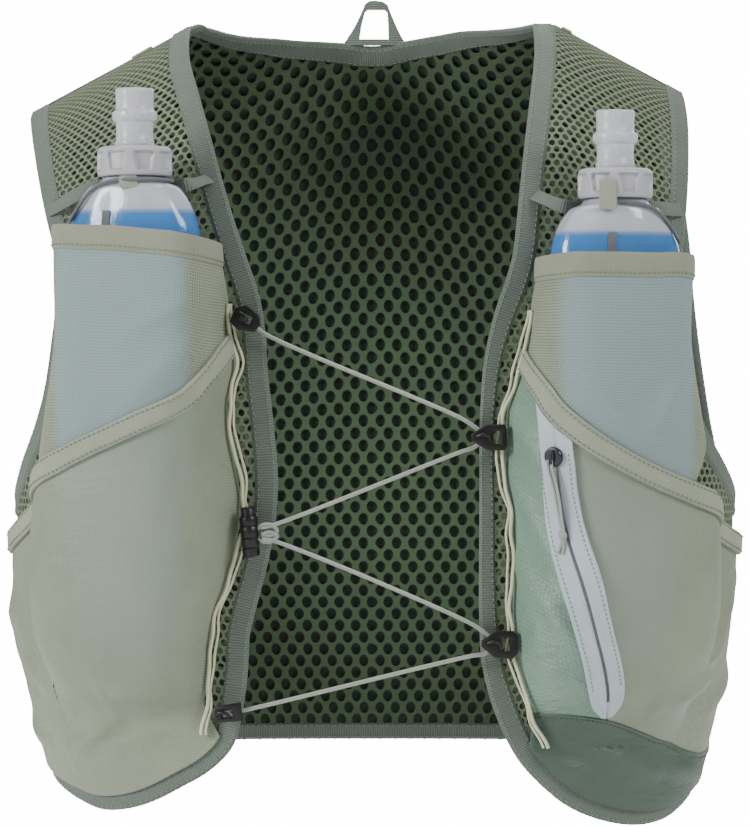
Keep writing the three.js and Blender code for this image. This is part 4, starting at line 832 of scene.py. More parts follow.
def new_group(name, inputs, outputs):
    group = bpy.data.node_groups.new(name, "ShaderNodeTree")
    for label, kind, value in inputs:
        socket = group.interface.new_socket(label, in_out="INPUT", socket_type=kind)
        if value is not None:
            socket.default_value = value
    for label in outputs:
        group.interface.new_socket(label, in_out="OUTPUT", socket_type="NodeSocketFloat")
    tree = Tree(group)
    return group, tree, tree.node("NodeGroupInput").outputs, tree.node("NodeGroupOutput")


def weave_group():
    """Crossed threads: Height for a bump, and GapShade, the painted shade in the gaps between the threads."""
    inputs = (("Place", "NodeSocketVector", None), ("Threads", "NodeSocketFloat", 20.0))
    group, t, given, end = new_group("thread_weave", inputs, ("Height", "GapShade"))
    xyz = t.node("ShaderNodeSeparateXYZ", {0: given["Place"]})
    turns = t.math("MULTIPLY", given["Threads"], math.pi)
    across = t.ridges(xyz.outputs[0], turns)
    along = t.ridges(xyz.outputs[1], turns)
    # Painted shade between the threads: 1 in the gaps, 0 where the threads cross.
    gap = t.math("SUBTRACT", 1.0, t.math("MULTIPLY", across, along))
    t.put(end, {"Height": t.math("MAXIMUM", across, along), "GapShade": gap})
    return group


def tone_group():
    """Unevenness of a dyed or moulded surface, from 0 to 1."""
    inputs = (("Place", "NodeSocketVector", None), ("Size", "NodeSocketFloat", 30.0))
    group, t, given, end = new_group("surface_tone", inputs, ("Tone",))
    noise = t.node("ShaderNodeTexNoise", {"Vector": given["Place"], "Scale": given["Size"], "Detail": 6.0,
                                          "Roughness": 0.65})
    t.put(end, {"Tone": noise.outputs[0]})
    return group


def rib_group():
    """Fine ribs across a strap or a cord: Height for a bump."""
    inputs = (("Place", "NodeSocketVector", None), ("Ribs", "NodeSocketFloat", 12.0),
              ("Lean", "NodeSocketFloat", 0.0))
    group, t, given, end = new_group("strap_ribs", inputs, ("Height",))
    xyz = t.node("ShaderNodeSeparateXYZ", {0: given["Place"]})
    along = t.math("ADD", xyz.outputs[0], t.math("MULTIPLY", xyz.outputs[1], given["Lean"]))
    t.put(end, {"Height": t.ridges(along, t.math("MULTIPLY", given["Ribs"], math.pi))})
    return group


WEAVE = weave_group()
TONE = tone_group()
RIBS = rib_group()


def new_material(name, tone_size):
    """A material, its tree, its shader, the place on the piece and an uneven tone."""
    material = bpy.data.materials.new(name)
    material.use_nodes = True
    t = Tree(material.node_tree)
    place = t.node("ShaderNodeTexCoord").outputs["Object"]
    tone = t.use(TONE, Place=place, Size=tone_size).outputs[0]
    return material, t, material.node_tree.nodes["Principled BSDF"], place, tone


def cloth_map(t):
    return t.node("ShaderNodeUVMap", uv_map="cloth").outputs[0]


def cloth_material(name, light, dark, threads=18.0, bump=0.25, gap_shade_share=0.5, sheen=0.06, roughness=0.85,
                   see=None, wrinkle=0.0):
    """Woven or knitted cloth, with painted shade in the gaps between its threads. See is the colour that shows
    through where the piece's mask has it.
    """
    material, t, shader, place, tone = new_material(name, 28.0)
    weave = t.use(WEAVE, Place=cloth_map(t), Threads=threads)
    gap = weave.outputs["GapShade"]
    # Painted shade: the cloth's colour darkens in the gaps between the threads.
    colour = t.mix(t.math("MULTIPLY", gap, gap_shade_share), hex_colour(light), hex_colour(dark))
    shade = t.node("ShaderNodeMapRange", {"Value": tone, 1: 0.3, 2: 0.7, 3: 0.90, 4: 1.08}).outputs[0]
    grey = t.node("ShaderNodeCombineColor", {0: shade, 1: shade, 2: shade})
    colour = t.mix(1.0, colour, grey.outputs[0], "MULTIPLY")
    if see:
        mask = t.node("ShaderNodeAttribute", attribute_name="behind").outputs["Fac"]
        # The colour showing through also gets painted shade in the thread gaps.
        through = t.mix(t.math("MULTIPLY", gap, 0.35), hex_colour(see), hex_colour(dark))
        colour = t.mix(mask, colour, through)
    relief = t.bump(weave.outputs["Height"], bump, 0.0002)
    if wrinkle:
        pulled = t.node("ShaderNodeMapping", {"Vector": place, "Rotation": (0.2, 0.8, 0.3),
                                              "Scale": (1.0, 1.0, 3.4)})
        creases = t.use(TONE, Place=pulled.outputs[0], Size=20.0)
        t.put(relief, {"Normal": t.bump(creases.outputs[0], wrinkle, 0.006).outputs[0]})
    t.put(shader, {"Roughness": roughness, "Sheen Weight": sheen, "Sheen Roughness": 0.4,
                   "Base Color": colour, "Normal": relief.outputs[0]})
    return material


def strap_material(name, light, dark, ribs=14.0, lean=0.0, bump=0.5, sheen=0.06):
    """Ribbed elastic, cord or thread, with painted shade in the grooves between ribs."""
    material, t, shader, place, tone = new_material(name, 60.0)
    rib = t.use(RIBS, Place=cloth_map(t), Ribs=ribs, Lean=lean).outputs[0]
    # Painted shade in the grooves between ribs, mixed with the surface's random unevenness of tone.
    groove = t.math("SUBTRACT", 1.0, rib)
    both = t.math("ADD", t.math("MULTIPLY", groove, 0.55), t.math("MULTIPLY", tone, 0.45), clamp=True)
    t.put(shader, {"Roughness": 0.85, "Sheen Weight": sheen,
                   "Base Color": t.mix(both, hex_colour(light), hex_colour(dark)),
                   "Normal": t.bump(rib, bump, 0.0003).outputs[0]})
    return material


def moulded_material(name, light, dark, roughness=0.4, grain=400.0, metal=0.0, clear=0.0):
    """Moulded plastic, silicone or cast metal with a fine grain."""
    material, t, shader, place, tone = new_material(name, grain / 4)
    fine = t.use(TONE, Place=place, Size=grain * 3)
    rough = t.node("ShaderNodeMapRange", {"Value": tone, 1: 0.3, 2: 0.7, 3: roughness - 0.08,
                                          4: roughness + 0.1})
    t.put(shader, {"Metallic": metal, "Transmission Weight": clear, "IOR": 1.42,
                   "Base Color": t.mix(tone, hex_colour(light), hex_colour(dark)),
                   "Roughness": rough.outputs[0], "Normal": t.bump(fine.outputs[0], 0.05, 0.0002).outputs[0]})
    return material


def film_material(name):
    """The flask's film: clear and greyish at the shoulder, blue below its line."""
    material, t, shader, place, tone = new_material(name, 45.0)
    below = t.node("ShaderNodeAttribute", attribute_name="band").outputs["Fac"]
    clear = t.mix(tone, hex_colour("#e3e6ec"), hex_colour("#b4bcc9"))
    blue = t.mix(tone, hex_colour("#2f7fcf"), hex_colour("#5b9bd6"))
    t.put(shader, {"Roughness": 0.16, "Transmission Weight": 0.35, "IOR": 1.38, "Coat Weight": 0.5,
                   "Base Color": t.mix(below, clear, blue), "Normal": t.bump(tone, 0.35, 0.002).outputs[0]})
    return material


BINDING = strap_material("binding_elastic", "#6c776d", "#434d45", ribs=7.5, bump=0.8)
NET = strap_material("shoulder_net_yarn", "#747f68", "#56614a", ribs=24.0, bump=0.3)
MESH = cloth_material("back_spacer_mesh", "#455a3e", "#2b3b26", threads=20.0, bump=0.5)
COVER = cloth_material("back_cover_cloth", "#313e32", "#1e2821", threads=12.0, bump=0.4)
POCKET = cloth_material("pocket_stretch_mesh", "#959c88", "#646d5a", threads=6.5, bump=0.4, gap_shade_share=1.0,
                        see="#80979c")
LOWER = cloth_material("lower_pocket_stretch", "#8d9580", "#6b7561", threads=7.0, bump=0.3, gap_shade_share=0.9,
                       sheen=0.15, roughness=0.5, see="#7e8c85", wrinkle=0.22)
RIM = strap_material("tape_elastic", "#8d917e", "#717663", ribs=11.0, bump=0.45)
TAPE = strap_material("diagonal_tape_elastic", "#999e8a", "#7b8170", ribs=9.0, bump=0.5)
RIPSTOP = cloth_material("ripstop_cloth", "#75907f", "#547060", threads=4.0, bump=0.4, sheen=0.12,
                         roughness=0.4, wrinkle=0.75)
FLAP = cloth_material("flap_cloth", "#475b4d", "#324237", threads=11.0, bump=0.25, sheen=0.12,
                      roughness=0.5, wrinkle=0.5)
ZIP_TAPE = cloth_material("zip_tape_cloth", "#b4bec4", "#929da6", threads=9.0, bump=0.3)
CREAM = strap_material("cream_cord", "#e6e8c8", "#b4b78f", ribs=9.0, lean=1.2, bump=0.8)
LACE = strap_material("lace_cord", "#b4bab0", "#848a80", ribs=11.0, lean=1.4, bump=0.8)
GREY = strap_material("thin_grey_cord", "#767a7f", "#4f5358", ribs=14.0, lean=1.4, bump=0.6)
THREAD = strap_material("sewing_thread", "#828d7f", "#687363", ribs=30.0, bump=0.2)
DARK_THREAD = strap_material("dark_sewing_thread", "#5d6a60", "#475448", ribs=30.0, bump=0.2)
BLACK = moulded_material("black_plastic", "#100f10", "#1d1a1a", roughness=0.36)
CAP = moulded_material("cap_plastic", "#bdbdc0", "#9d9ea2", roughness=0.34, clear=0.1)
VALVE = moulded_material("valve_silicone", "#ececef", "#c9cbd1", roughness=0.26, clear=0.4)
FILM = film_material("flask_film")
METAL = moulded_material("slider_metal", "#2c2e32", "#46484d", roughness=0.3, metal=0.85)


# Camera, light and floor.
CAMERA_DISTANCE = 2130.0
CAMERA_HEIGHT = -200.0
FRONT_PLANE = 130.0
VIEW_WIDTH = 375.0
FLOOR_LEVEL = -620.0
FLOOR_SIZE = 3.6
SENSOR = 36.0
LIGHT_STRENGTH = 0.32
SEEN_STRENGTH = 16.0
# Name, place and size in metres, power in watts
LAMPS = (("key", (-2.0, -1.2, 0.5), 0.8, 60), ("fill", (1.7, -1.3, 1.0), 1.0, 42),
         ("top", (0.0, 0.2, 1.8), 1.4, 26), ("back", (0.5, 1.9, 0.8), 1.6, 20))


def studio():
    data = bpy.data.cameras.new("photo_camera")
    data.sensor_fit = "HORIZONTAL"
    data.sensor_width = SENSOR
    data.lens = SENSOR * (CAMERA_DISTANCE - FRONT_PLANE) / VIEW_WIDTH
    data.clip_end = 50.0
    camera = bpy.data.objects.new("photo_camera", data)
    camera.location = (0, -CAMERA_DISTANCE * MM, CAMERA_HEIGHT * MM)
    camera.rotation_euler = (math.pi / 2, 0, 0)
    bpy.context.scene.collection.objects.link(camera)
    bpy.context.scene.camera = camera
    bpy.ops.mesh.primitive_plane_add(size=FLOOR_SIZE, location=(0, 0, FLOOR_LEVEL * MM))
    floor = bpy.context.object
    floor.name = "pale_floor"
    material, t, shader, place, tone = new_material("pale_floor_paint", 3.0)
    paint = t.mix(tone, (0.90, 0.90, 0.90, 1), (0.86, 0.86, 0.86, 1))
    t.put(shader, {"Base Color": paint, "Roughness": 0.7})
    floor.data.materials.append(material)
    world = bpy.data.worlds.new("studio_white")
    bpy.context.scene.world = world
    world.use_nodes = True
    sky = Tree(world.node_tree)
    seen = sky.node("ShaderNodeLightPath").outputs["Is Camera Ray"]
    strength = sky.node("ShaderNodeMapRange", {"Value": seen, 3: LIGHT_STRENGTH, 4: SEEN_STRENGTH})
    sky.put(world.node_tree.nodes["Background"], {0: (1, 1, 1, 1), 1: strength.outputs[0]})
    for name, place_at, size, energy in LAMPS:
        lamp = bpy.data.lights.new(name + "_light", "AREA")
        lamp.size = size
        lamp.energy = energy
        obj = bpy.data.objects.new(name + "_light", lamp)
        obj.location = place_at
        aim = np.array([0, 0, -0.2]) - np.array(place_at)
        obj.rotation_euler = Vector(aim).to_track_quat("-Z", "Y").to_euler()
        bpy.context.scene.collection.objects.link(obj)


studio()


# Hardware places and the lacing.
CLIPS = {
    "clip_upper_left": (-13.7, 0.385, -24), "clip_upper_right": (11.9, 0.530, 0),
    "clip_lower_right": (13.9, 0.790, 0), "clip_lower_left": (-18.1, 0.877, 6),
}
LOCK = (-13.5, 0.653, 4)
CLIP_LIFT = OVERLAY_LIFT + EDGE_CORD_DIAMETER + 2 * LAYER_GAP
LACE_LIFT = CLIP_LIFT - LAYER_GAP - LACE_DIAMETER / 2
LOCK_LIFT = CLIP_LIFT + LOCK_RADIUS - 2 * LAYER_GAP
BEND = ((-14, 9.6), (-7, 5.2), (-4.5, 3.2), (-3.6, 0), (-4.5, -3.2), (-7, -5.2))
UPPER_BEND = BEND + ((-14, -7.6),)
LOWER_BEND = BEND + ((-14, -6.6),)
LOOP_ACROSS = LOCK_RADIUS + 1.5


def from_seat(place, x, y, z=0.0):
    return place[:3, :3] @ np.array([x, y, z]) + place[:3, 3]


def clip_seat(name):
    turn, down, spin = CLIPS[name]
    return seat(None, turn, down, CLIP_LIFT, spin)


def lock_seat():
    turn, down, spin = LOCK
    return seat(None, turn, down, LOCK_LIFT, spin)


def laces():
    """The two laces across the open front, held taut by the clips and the lock."""
    height = LACE_LIFT - CLIP_LIFT

    def on_clip(name, *spots):
        return [from_seat(clip_seat(name), x, y, height) for x, y in spots]

    def by_lock(*spots):
        return [from_seat(lock_seat(), x, y) for x, y in spots]

    upper = on_clip("clip_upper_left", (4, -1), (9, -3)) + on_clip("clip_upper_right", *UPPER_BEND)
    upper += by_lock((12, 5), (LOOP_ACROSS, 4.2))
    lower = by_lock((LOOP_ACROSS, -1.6), (12, -3)) + on_clip("clip_lower_right", *LOWER_BEND)
    lower += on_clip("clip_lower_left", (8, 0), (1, 0))
    for name, route in (("lacing_cord_upper", upper), ("lacing_cord_lower", lower)):
        obj, points = cord(name + "_braid", route, LACE_DIAMETER)
        dress(obj, VEST, "lace", LACE, name)


laces()


def edge_cords():
    """The cream elastic threaded down each pocket's front edge, with a second strand that bulges out."""
    lift = OVERLAY_LIFT + LAYER_GAP + EDGE_CORD_DIAMETER / 2
    for side in SIDES:
        places = line(side, side.cord, 160)
        share = np.linspace(0, 1, len(places))
        wave = 0.45 * np.sin(share * 46) + 0.3 * np.sin(share * 71 + 1)
        places[:, 0] += side.sign * wave * 0.35
        points = laid(side, places, lift)
        obj = sweep(f"edge_cord_{side.name}_braid", points, None, round_section(EDGE_CORD_DIAMETER * 0.8, 8))
        dress(obj, VEST, "cream", CREAM, f"edge_cord_{side.name}")
        strand = places.copy()
        strand[:, 0] -= side.sign * (0.35 + 0.55 * np.abs(np.sin(share * 14)))
        points = laid(side, strand, lift - 0.6 + 0.7 * np.abs(np.sin(share * 14)))
        thin = sweep(f"edge_strand_{side.name}", points, None, round_section(1.3, 6))
        dress(thin, VEST, "cream", CREAM)


edge_cords()


# Edgings.
def edging(name, node, course, width, closed=False, inside_row=False, thick=BINDING_THICK):
    """A ribbed edging along a course of points, with a row of stitches near each side."""
    points, normals, wide = course
    scaled = np.repeat(flat_section(1.0, 1.0)[None], len(points), axis=0)
    scaled[..., 0] *= (width * wide)[:, None]
    scaled[..., 1] *= thick
    dress(sweep(name, points, normals, scaled, closed=closed), VEST, "binding", BINDING, node)
    _, up, across = frames_along(points, normals)
    faces = (("stitch", 1), ("inside_stitch", -1)) if inside_row else (("stitch", 1),)
    for label, share in (("inner", -0.34), ("outer", 0.34)):
        for kind, face in faces:
            row = points + across * (width * wide * share)[:, None] + up * thick * 0.49 * face
            dress(stitches(f"{name}_{kind}_{label}", row, up * face), VEST, "binding", THREAD)


def open_course(places):
    """Points, normals and width shares of an edging with two ends."""
    return laid(None, places, 0.0), normals_at(None, places), places[:, 2]


def closed_course(rows, steps):
    """The same for an edging that closes on itself."""
    places = np.array(rows)
    fine = smooth_curve(laid(None, places, 0.0), closed=True)
    fine_normals = unit(smooth_curve(normals_at(None, places), closed=True))
    lengths = lengths_along(fine)
    points = resample(fine, lengths, steps)[:-1]
    return points, unit(resample(fine_normals, lengths, steps)[:-1]), np.ones(steps)


def armhole_rows(side):
    rows = []
    for part in (side.armhole, side.armhole_back):
        rows += [(side.sign * t, float(r)) for t, r in zip(part["turn"], run_of_down(part["down"]))]
    return rows


def neck_half(side):
    runs = np.minimum(-2 * EDGE_MARGIN, run_of_down(NECKLINE["down"]))
    turns = side.sign * NECKLINE["across"] * side.edge["turn"][0]
    return np.stack([turns, runs, np.ones(len(runs))], axis=1)


def neck_line():
    return np.vstack([neck_half(LEFT)[1:][::-1], neck_half(RIGHT)])


def edgings():
    for side in SIDES:
        front = open_course(line(side, side.edge, 260))
        edging(f"front_edging_{side.name}", f"front_binding_{side.name}", front, BINDING_WIDTH)
        armhole = closed_course(armhole_rows(side), 300)
        edging(f"armhole_edging_{side.name}", f"armhole_binding_{side.name}", armhole, ARM_BINDING_WIDTH,
               closed=True, thick=ARM_BINDING_THICK)
    edging("neck_edging", "neck_binding", open_course(even(neck_line(), 140)), BINDING_WIDTH + 2.0,
           inside_row=True, thick=NECK_BINDING_THICK)
    seam = 180 - SIDE_SEAM_TURN - 0.2
    hem = np.array([(share * seam, float(run_of_down(-BACK_HEM_DOWN)), 1) for share in np.linspace(-1, 1, 9)])
    edging("back_hem_edging", "back_hem_binding", open_course(even(hem, 160)), HEM_BINDING_WIDTH,
           inside_row=True, thick=NECK_BINDING_THICK)


edgings()


# The net, the back mesh and its cover.
REFERENCE_DROP = 180.0
HALF_TURNS = np.linspace(0, 130, 261)
FRONT_ACROSS = lengths_along(body_point(HALF_TURNS, np.full(261, REFERENCE_DROP)))
BACK_ACROSS = lengths_along(body_point(180 - HALF_TURNS, np.full(261, REFERENCE_DROP)))


def flattened(places, across):
    """Places laid flat, in millimetres."""
    x = np.sign(places[:, 0]) * np.interp(np.abs(places[:, 0]), HALF_TURNS, across)
    return np.stack([x, places[:, 1]], axis=1)


def laid_back(across):
    """A way to lay flat points back on the body."""
    def lay(plane, lift):
        turn = np.sign(plane[:, 0]) * np.interp(np.abs(plane[:, 0]), across, HALF_TURNS)
        return on_cloth(None, turn, plane[:, 1], lift)
    return lay


def net_border(side):
    neck = np.vstack([neck_half(side)[5:-1], placed(side, side.edge["down"], side.edge["turn"])])
    keep = side.armhole["turn"] < SIDE_SEAM_TURN
    arm = np.vstack([placed(side, [-0.0045], side.armhole["turn"][:1]),
                     placed(side, side.armhole["down"][keep], side.armhole["turn"][keep])])
    arm = np.vstack([arm, [side.sign * 99.5, float(run_of_down(0.615)), 1]])
    return np.vstack([flattened(even(neck, 120), FRONT_ACROSS), flattened(even(arm, 80), FRONT_ACROSS)[::-1]])


NET_PITCH = 4.6
NET_ROW = 4.0
NET_HOLE = (3.7, 3.9)
NET_THICK = 0.9
MESH_PITCH = 9.3
MESH_ROW = 6.5
MESH_HOLE = (5.6, 6.6)
MESH_THICK = 0.9
COVER_ROWS = 85
COVER_LIFT = 1.7
COVER_THICK = 1.2
COVER_RAISE = 1.1


def nets():
    for side in SIDES:
        polygon = net_border(side)
        obj = pierced(f"shoulder_net_{side.name}_yarn", polygon, NET_PITCH, NET_ROW, NET_HOLE,
                      laid_back(FRONT_ACROSS), NET_THICK / 2, NET_THICK, 6)
        dress(obj, VEST, "net", NET, f"shoulder_net_{side.name}")


def arm_back(side):
    keep = side.armhole["turn"] > SIDE_SEAM_TURN
    turns = np.concatenate([[180 - SIDE_SEAM_TURN], 180 - side.armhole["turn"][keep],
                            side.armhole_back["turn"], side.armhole["turn"][:1]])
    downs = np.concatenate([[-0.615], -side.armhole["down"][keep], side.armhole_back["down"], [0]])
    places = placed(side, downs, turns)
    places[-1, 1] = -0.01
    return even(places, 60)


def back_panels():
    """The padded mesh and its cover. Their upper border runs from side seam to side seam over both straps."""
    left = arm_back(LEFT)
    neck = even(neck_line(), 60)
    right = arm_back(RIGHT)[::-1]
    seam = 180 - SIDE_SEAM_TURN
    hem_run = float(run_of_down(-BACK_HEM_DOWN))
    hem = np.stack([np.linspace(seam, -seam, 60), np.full(60, hem_run), np.ones(60)], axis=1)
    border = flattened(np.vstack([left, neck, right, hem]), BACK_ACROSS)
    mesh = pierced("back_mesh_cloth", border, MESH_PITCH, MESH_ROW, MESH_HOLE, laid_back(BACK_ACROSS), -0.2,
                   MESH_THICK)
    dress(mesh, VEST, "mesh", MESH, "back_mesh")
    shoulders = [np.linspace(start[-1], end[0], 26)[1:-1] for start, end in ((left, neck), (neck, right))]
    top = np.vstack([spread(None, left, 50), shoulders[0], spread(None, neck, 60), shoulders[1],
                     spread(None, right, 50)])
    count = len(top)
    bottom = np.stack([np.linspace(-seam, seam, count), np.full(count, hem_run + 2), np.ones(count)], axis=1)
    shares = np.linspace(0, 1, COVER_ROWS)[:, None, None]
    places = top[None] * (1 - shares) + bottom[None] * shares
    rows_in = np.minimum(np.arange(COVER_ROWS), COVER_ROWS - 1 - np.arange(COVER_ROWS))[:, None]
    columns_in = np.minimum(np.arange(count), count - 1 - np.arange(count))[None]
    raised = COVER_RAISE * np.clip(np.minimum(rows_in, columns_in) / 4, 0, 1)
    sewn_sheet("back_cover", None, places, "cover", COVER,
               COVER_LIFT, COVER_THICK, lambda turn, run: raised)


nets()
back_panels()


# The flasks, their caps and valves.
def flask_sides(side):
    """Unit vectors away from the chest and to the viewer's right at a flask."""
    out = outward(side, np.float64(FLASK_YAW))
    return out, np.array([-out[1], out[0], 0])


def flask_axis(side, z):
    """The middle of a flask at a height."""
    share = max(0.32, -z / FRONT_DROP)
    form = body_point(np.float64(side.sign * FLASK_TURN), np.float64(share * FRONT_DROP))
    out = float(column(FLASK, "out", (side.neck_top - z) / FLASK_LENGTH))
    centre = form + flask_sides(side)[0] * (FLASK_CLEARANCE + FLASK_HALF_DEPTH * out)
    return np.array([centre[0], centre[1], z])


def flask_point(side, share, angle, lift=0.0):
    half = FLASK_HALF_WIDTH * float(column(FLASK, "wide", share)) + lift
    deep = FLASK_HALF_DEPTH * float(column(FLASK, "deep", share)) + lift
    out, right = flask_sides(side)
    a = math.radians(angle)
    power = 2 / FLASK_SQUARENESS
    u = math.copysign(half * abs(math.sin(a)) ** power, math.sin(a))
    v = math.copysign(deep * abs(math.cos(a)) ** power, math.cos(a))
    return flask_axis(side, side.neck_top - share * FLASK_LENGTH) + right * u + out * v


BAND_SHARE = 0.070


def flask(side):
    """The soft bottle: a filled film bag, lightly puckered at its shoulder."""
    sides = 72
    shares = np.concatenate([np.linspace(0, 0.13, 22), np.linspace(0.15, 0.85, 26),
                             np.linspace(0.87, 1.0, 10)])
    verts = []
    band = []
    for share in shares:
        pucker = 0.55 * math.exp(-((share - 0.05) / 0.03) ** 2)
        for k in range(sides):
            angle = 360 * k / sides
            lift = pucker * math.sin(math.radians(angle * 9)) - 0.25
            verts.append(flask_point(side, share, angle, lift))
            band.append(1.0 if share > BAND_SHARE else max(0.0, 1 - (BAND_SHARE - share) / 0.006))
    verts = np.array(verts)
    faces = tube_faces(len(shares), sides)
    obj = piece(f"flask_{side.name}_film", verts, faces, angle=70, masks={"band": np.array(band)})
    dress(obj, VEST, "flask", FILM, f"flask_{side.name}")
    strip = np.array([[flask_point(side, share, angle, 0.25) for angle in np.linspace(-16, -9, 5)]
                      for share in np.linspace(0.068, 0.19, 14)])
    under = strip - flask_sides(side)[0] * 0.7
    dress(cloth_wall(f"flask_{side.name}_scale_strip", strip, under), VEST, "grey", GREY)


def grips(angle, height, radius):
    """Recessed trapezoid grips round a cap's wall."""
    turn = (angle / (2 * math.pi) * 8 + 0.1) % 1.0
    middle = np.abs(turn - 0.5)
    low = np.clip((height - 2.4) / 1.2, 0, 1)
    high = np.clip((12.4 - height) / 1.2, 0, 1)
    width = 0.24 + 0.012 * height
    edge = np.clip((width - middle) / 0.05, 0, 1)
    return 1.9 * low * high * edge * (radius > 17)


CAP_PROFILE = ((15.0, 0.0), (17.6, 0.0), (18.3, 0.4), (18.7, 1.4), (18.8, 2.4), (18.8, 3.0), (18.8, 3.6),
               (18.8, 5.0), (18.8, 7.0), (18.8, 9.0), (18.8, 11.2), (18.8, 11.8), (18.8, 12.4),
               (18.6, 13.2), (18.0, 14.2), (17.0, 14.8), (15.6, 15.0), (12.6, 15.0), (12.2, 14.6),
               (11.4, 14.6), (10.6, 15.0))
VALVE_PROFILE = ((7.5, 0.0), (9.6, 0.0), (9.9, 0.5), (9.9, 2.4), (9.4, 3.0), (9.3, 6.0), (9.3, 9.0),
                 (9.5, 11.8), (10.6, 12.8), (11.2, 13.4), (11.4, 14.2), (11.4, 16.0), (11.2, 17.0),
                 (10.2, 17.8), (9.7, 18.4), (9.5, 19.0), (9.5, 22.0), (9.6, 25.0), (9.8, 27.4), (9.7, 28.4),
                 (9.2, 29.0), (8.2, 29.0), (7.4, 28.6), (2.4, 28.4), (0.6, 27.8), (0.2, 27.7))


def cap_and_valve(side):
    centre = flask_axis(side, side.neck_top)
    body = f"cap_{side.name}"
    cap_place = upright(centre[0], centre[1], side.neck_top + CAP_GAP)
    cap = turned(f"flask_cap_{side.name}_moulding", CAP_PROFILE, cap_place, 216, grips)
    dress(cap, body, "cap", CAP, f"flask_cap_{side.name}")
    valve_place = upright(centre[0], centre[1], side.neck_top + 2 * CAP_GAP + CAP_HEIGHT)
    valve = turned(f"bite_valve_{side.name}_silicone", VALVE_PROFILE, valve_place, 72)
    dress(valve, body, "valve", VALVE, f"bite_valve_{side.name}")


def retention_cord(side):
    lift = RETENTION_CORD_DIAMETER / 2 + LAYER_GAP
    route = [flask_point(side, share, angle, lift + out) for share, angle, out in side.retention]
    obj, _ = cord(f"retention_cord_{side.name}_braid", route, RETENTION_CORD_DIAMETER, 1.2, 8)
    dress(obj, VEST, "grey", GREY, f"retention_cord_{side.name}")


def neck_strap(side):
    """The elastic behind the flask's neck, sewn to the net at both ends."""
    out, right = flask_sides(side)
    axis = flask_axis(side, side.neck_top - NECK_STRAP_WIDTH / 2)
    lift = BINDING_THICK / 2 + LAYER_GAP + 0.5
    feet = placed(side, side.strap[1::2], side.strap[::2])
    ends = laid(None, feet, lift)
    end_normals = normals_at(None, feet)
    ring = FLASK_HALF_DEPTH * 0.95 + LAYER_GAP + 1.0
    shape = ((1.25, 0.5), (0.6, 1.0), (-0.6, 1.0), (-1.25, 0.5))
    route = [ends[0]] + [axis + right * side.sign * ring * a - out * ring * b for a, b in shape] + [ends[1]]
    faces_out = [end_normals[0]] + [out] * 4 + [end_normals[1]]
    fine = smooth_curve(route)
    normals = unit(smooth_curve(faces_out))
    lengths = lengths_along(fine)
    points = resample(fine, lengths, 60)
    obj = sweep(f"neck_strap_{side.name}_elastic", points, unit(resample(normals, lengths, 60)),
                flat_section(NECK_STRAP_WIDTH, 1.2))
    dress(obj, VEST, "binding", BINDING, f"neck_strap_{side.name}")


for half in SIDES:
    flask(half)
    cap_and_valve(half)
    retention_cord(half)
    neck_strap(half)


# The pockets.
def fold_lines(side, rows):
    """Soft raised folds: each row is turn, down, turn, down, half width and height."""
    def dents(turn, run):
        total = np.zeros(turn.shape)
        flat = np.stack([np.abs(turn) * FOLD_TURN_LENGTH, run], axis=-1)
        for t0, d0, t1, d1, width, height in rows:
            a = np.array([t0 * FOLD_TURN_LENGTH, float(run_of_down(d0))])
            b = np.array([t1 * FOLD_TURN_LENGTH, float(run_of_down(d1))])
            share = np.clip(np.sum((flat - a) * (b - a), axis=-1) / np.sum((b - a) ** 2), 0, 1)
            gap = np.linalg.norm(flat - a - share[..., None] * (b - a), axis=-1)
            fade = np.sin(math.pi * np.clip(share, 0.08, 0.92)) ** 0.6
            total += FOLD_HEIGHT * height * np.exp(-(gap / width) ** 2) * fade
        return total
    return dents


def flask_behind(side, strength):
    """How much of the flask shows through the cloth at each point."""
    def mask(points):
        right = flask_sides(side)[1]
        centre = flask_axis(side, side.neck_top - 60)
        u = np.abs((points - centre) @ right)
        share = (side.neck_top - points[..., 2]) / FLASK_LENGTH
        half = FLASK_HALF_WIDTH * column(FLASK, "wide", share)
        inside_it = np.clip((half - u) / 5 + 0.4, 0, 1)
        tail = np.clip((1.0 - share) / 0.12, 0, 1)
        return {"behind": inside_it * tail * strength}
    return mask


FOLD_HEIGHT = 1.9
FOLD_TURN_LENGTH = 3.0
RIPSTOP_FOLDS = ((15, 0.55, 23, 0.70, 3, 1.1), (15.5, 0.58, 21, 0.80, 3, 1.0), (16.5, 0.50, 22, 0.60, 3, 0.9),
                 (17, 0.68, 26, 0.80, 3.5, 1.0), (18, 0.80, 28, 0.84, 3, 0.9))
ZIP_FOOT_TURN = 33.6
FLAP_FOLDS = ((26, 0.91, 52, 0.96, 5, 1.6), (50, 0.95, 78, 0.97, 5, 1.3), (24, 0.935, 34, 0.965, 4, 1.0))


def rows_between(side, rows, low, high, shift=0.0):
    keep = (rows["down"] >= low) & (rows["down"] <= high)
    return placed(side, rows["down"][keep], rows["turn"][keep] + shift)


def tape_from_foot(side, limit=200.0):
    keep = side.tape["turn"] <= limit
    downs = np.concatenate([[side.pocket_foot[0]], side.tape["down"][keep][1:]])
    turns = np.concatenate([[side.pocket_foot[1]], side.tape["turn"][keep][1:]])
    return even(placed(side, downs, turns), 90)


def cord_edge(side, start, low, high, end, steps):
    """A pocket's border beside its edge cord, between two given places."""
    return even(np.vstack([start, rows_between(side, side.cord, low, high, FOOT_MARGIN), end]), steps)


